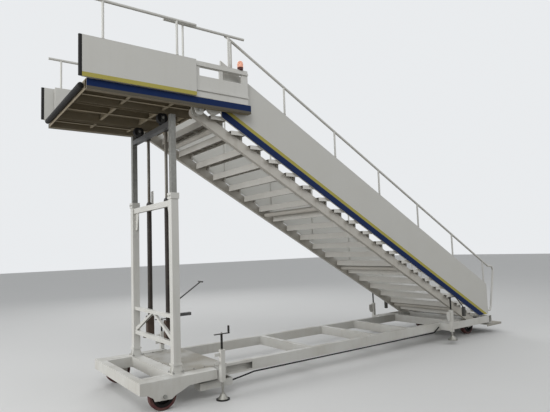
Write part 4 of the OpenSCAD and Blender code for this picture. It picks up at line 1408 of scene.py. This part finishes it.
@dataclass
class BoardingPlatform(Assembly):
    """Bumper, lamp, joist flanges, screws, rivets and collars of the platform and its screens."""

    lamp_foot: Point = (x_at(1.49), -SCREEN_Y, 4.50)
    bumper_front: Point = (x_at(-0.6765), -0.95, 3.938)
    bumper_radius: float = 0.036
    bumper_ribs: int = 38
    flange_width: float = 0.040
    flange_thick: float = 0.004
    joists: tuple[float, ...] = (-0.720, 0.0, 0.720)
    joist_ends: tuple[float, float] = (-0.632, 1.010)
    joist_low: float = 3.901
    cross_ribs: tuple[float, ...] = (-0.060, 0.520)
    rib_half: float = 0.905
    rib_low: float = 3.909
    fascia_row: tuple[float, float, float] = (-0.55, 1.6, 0.268)
    fascia_out: float = 1.061
    fascia_z: float = 3.945
    screen_posts: tuple[float, ...] = (0.6, 1.3)
    slide_posts: tuple[float, ...] = (-0.46, 0.49)
    slide_y: float = 1.083
    shoes: tuple[float, ...] = (-0.20, 0.66)
    shoe_rivets: tuple[float, ...] = (4.085, 4.125, 4.425, 4.465)
    shoe_out: float = 1.100
    knee_pin_end: float = 0.973

    def lamp(self) -> None:
        """The warning lamp: a dark red base under a domed lens."""
        place = Matrix.Translation(self.lamp_foot)
        base = self.shop.lathe("lamp_base", [(0.036, 0.0), (0.040, 0.002), (0.040, 0.026), (0.044, 0.029),
                                             (0.044, 0.036), (0.040, 0.039), (0.0, 0.039)], place, 40)
        self.shop.finish(base, "platform", "dark_steel", "tread_maroon", "beacon")
        profile = [(0.0, 0.038), (0.041, 0.038)]
        for low in (0.041 + i * 0.011 for i in range(5)):
            profile += [(0.0425, low), (0.0440, low + 0.003), (0.0440, low + 0.007), (0.0425, low + 0.010)]
        profile += [(0.041, 0.104), (0.036, 0.119), (0.026, 0.130), (0.013, 0.136), (0.0, 0.138)]
        lens = self.shop.lathe("lamp_lens", profile, place, 40)
        self.shop.finish(lens, "platform", "lamp_orange")

    def bumper(self) -> None:
        """The soft roll: a ribbed tube with rounded ends across the platform's front."""
        length, radius = -2 * self.bumper_front[1], self.bumper_radius
        round_end = [(0.021, 0.001), (0.030, 0.005), (0.0348, 0.012)]
        profile, step = [(0.0, 0.0), *round_end], (length - 0.04) / self.bumper_ribs
        for i in range(self.bumper_ribs):
            base = 0.02 + (length - 0.04) * i / self.bumper_ribs
            profile += [(radius, base + step * 0.1), (radius, base + step * 0.8),
                        (radius - 0.0022, base + step * 0.9)]
        profile += [*((r, length - h) for r, h in reversed(round_end)), (0.0, length)]
        turn = Euler((-math.pi / 2, 0, 0)).to_matrix().to_4x4()
        roll = self.shop.lathe("bumper_roll", profile, Matrix.Translation(self.bumper_front) @ turn, 28)
        self.shop.finish(roll, "platform", "black_rubber", None, "bumper")

    def flanges(self) -> None:
        """Flat flanges under the joists and cross ribs, clear of the tracks' rolling faces."""
        half = self.flange_width / 2
        along = [(self.joist_ends, (y - half, y + half), self.joist_low) for y in self.joists]
        across = [((x - half, x + half), (-self.rib_half, self.rib_half), self.rib_low)
                  for x in self.cross_ribs]
        shape = bmesh.new()
        for (x0, x1), (y0, y1), low in along + across:
            for vert in bmesh.ops.create_cube(shape, size=1.0)["verts"]:
                vert.co = (x_at(x0 if vert.co.x < 0 else x1), y0 if vert.co.y < 0 else y1,
                           low if vert.co.z < 0 else low + self.flange_thick)
        bmesh.ops.bevel(shape, geom=list(shape.edges), offset=0.0012, segments=2, affect="EDGES")
        piece = self.shop.from_shape("joist_flanges", shape)
        self.shop.finish(piece, "platform", "white_paint", "flange_grime")

    def build(self) -> None:
        """Adds the platform's small pieces."""
        self.lamp()
        self.bumper()
        self.flanges()
        self.hardware.rivets("fascia_screws", "platform", [
            outward(side, station, self.fascia_out, self.fascia_z, station)
            for side in Side for station in stations(*self.fascia_row)], 0.006, paint="fascia_paint")
        self.hardware.rings("screen_post_feet", "platform", [
            Spot((x_at(x), side.value * SCREEN_Y, 4.5025)) for side in Side for x in self.screen_posts],
            0.0150)
        self.hardware.bolts("knee_pin_nuts", "platform", [
            outward(side, KNEE_X, self.knee_pin_end, KNEE_Z, 0.3) for side in Side], 0.034)
        for side in Side:
            body = "screen_%s" % side.word
            self.hardware.rings("slide_post_feet_%s" % side.word, body, [
                Spot((x_at(x), side.value * self.slide_y, 4.4975)) for x in self.slide_posts], 0.0165)
            self.hardware.rivets("shoe_rivets_%s" % side.word, body, [
                outward(side, x, self.shoe_out, z) for x in self.shoes for z in self.shoe_rivets],
                0.0055, paint="screen_paint")


@dataclass
class Dresser:
    """Gives every CAD node its finish."""

    shop: Shop

    def paints(self) -> dict[str, str]:
        """Lists the nodes whose finish isn't their record slot's own.

        Returns:
            The finish of each such node, by name.
        """
        return {
            "stair_panel_left": "panel_paint", "stair_panel_right": "panel_paint",
            "slide_screen_left": "screen_paint", "slide_screen_right": "screen_paint",
            "platform_fascia": "fascia_paint",
            "platform_frame": "platform_grime", "platform_floor": "platform_grime",
            # Stringers and tread brackets take the darker white, which is partly painted shade.
            "stringers": "white_underside", "tread_brackets": "white_underside",
            # The crosshead is galvanised; the dark steel on it is painted shade, as it lies in the shade
            # under the platform.
            "stair_treads": "tread_enamel", "crosshead": "dark_steel",
        }

    def dress(self) -> None:
        """Puts the finishes on."""
        slots = {row["node"]: row["material_slot"] for row in frame["record"]["subparts"]}
        slots.update(self.paints())
        for name, node in frame["nodes"].items():
            node.data.materials.clear()
            node.data.materials.append(self.shop.paint[slots[name]])
            LOG.info("%s in %s", name, slots[name])


# ---------------------------------------------------------------- stage


@dataclass
class Studio:
    """Floor, lamps, world and camera."""

    eye: Point = (-2.124 - MID, -6.726, 1.951)
    yaw: float = math.radians(36.02)
    pitch: float = math.radians(4.95)
    roll: float = math.radians(-1.98)
    focal_pixels: float = 484.0
    width_pixels: float = 550.0
    sensor: float = 36.0
    floor_half: float = 60.0
    floor_z: float = -0.001

    def camera(self) -> None:
        """Sets the camera at the photograph's place and turn."""
        data = bpy.data.cameras.new("photo_camera")
        data.sensor_width = self.sensor
        data.lens = self.focal_pixels / self.width_pixels * self.sensor
        data.clip_end = 200.0
        camera = bpy.data.objects.new("photo_camera", data)
        bpy.context.scene.collection.objects.link(camera)
        sine, cosine = math.sin(self.yaw), math.cos(self.yaw)
        ahead = Vector((sine * math.cos(self.pitch), cosine * math.cos(self.pitch), math.sin(self.pitch)))
        right = Vector((cosine, -sine, 0.0))
        up = right.cross(ahead)
        level_x = math.cos(self.roll) * right + math.sin(self.roll) * up
        level_y = math.cos(self.roll) * up - math.sin(self.roll) * right
        turn = Matrix((level_x, level_y, -ahead)).transposed().to_4x4()
        camera.matrix_world = Matrix.Translation(self.eye) @ turn
        bpy.context.scene.camera = camera

    def floor(self) -> None:
        """A wide pale floor."""
        mesh = bpy.data.meshes.new("floor")
        size = self.floor_half
        corners = ((-size, -size), (size, -size), (size, size), (-size, size))
        mesh.from_pydata([(x, y, self.floor_z) for x, y in corners], [], [(0, 1, 2, 3)])
        floor = Shop.mesh_object("floor", mesh)
        paper = Paper("floor_paint")
        pale = paper.blend(paper.noise(0.6, 3.0) * 0.5, (0.66, 0.66, 0.65), (0.70, 0.70, 0.69))
        paper.feed("Base Color", paper.blend(paper.seen(), (0.24, 0.225, 0.20), pale))
        paper.feed("Roughness", 0.85)
        mesh.materials.append(paper.material)

    def lamps(self) -> None:
        """Soft lamps that leave a written colour about as it is."""
        for name, place, aim, size, power in (
                ("key_lamp", (-9.0, -9.0, 11.0), (0.0, 0.0, 2.0), 7.0, 560.0),
                ("fill_lamp", (7.0, -10.0, 6.0), (0.0, 0.0, 1.5), 8.0, 260.0),
                ("front_lamp", (-15.0, 1.0, 3.6), (0.0, 0.0, 1.6), 7.0, 900.0),
                ("back_lamp", (3.0, 11.0, 9.0), (0.0, 0.0, 2.5), 8.0, 300.0)):
            data = bpy.data.lights.new(name, "AREA")
            data.shape = "DISK"
            data.size = size
            data.energy = power
            lamp = bpy.data.objects.new(name, data)
            bpy.context.scene.collection.objects.link(lamp)
            lamp.location = place
            lamp.rotation_euler = (Vector(aim) - Vector(place)).to_track_quat("-Z", "Y").to_euler()

    def world(self) -> None:
        """Even pale sky; the camera and reflections see it nearly white."""
        world = bpy.data.worlds.new("studio")
        bpy.context.scene.world = world
        world.use_nodes = True
        graph = Graph(world.node_tree)
        background = world.node_tree.nodes["Background"]
        background.inputs["Color"].default_value = (0.93, 0.95, 0.97, 1.0)
        strength = graph.seen() * 0.36 + 0.52
        world.node_tree.links.new(strength.socket, background.inputs["Strength"])

    def build(self) -> None:
        """Sets the stage."""
        bpy.context.scene.view_settings.view_transform = "Standard"
        self.camera()
        self.floor()
        self.lamps()
        self.world()


def main() -> None:
    """Builds and dresses the stairs in order."""
    logging.basicConfig(level=logging.INFO, format="%(message)s")
    Studio().build()
    paint = Paintbox()
    paint.mix()
    shop = Shop(paint)
    Dresser(shop).dress()
    hardware = Hardware(shop)
    hardware.prepare()
    for part in (Undercarriage(shop, hardware), Mast(shop, hardware), Jacks(shop, hardware),
                 Wheels(shop, hardware), Flight(shop, hardware), BoardingPlatform(shop, hardware)):
        part.build()
    LOG.info("%d pieces made", shop.pieces)


if __name__ == "__main__":
    main()
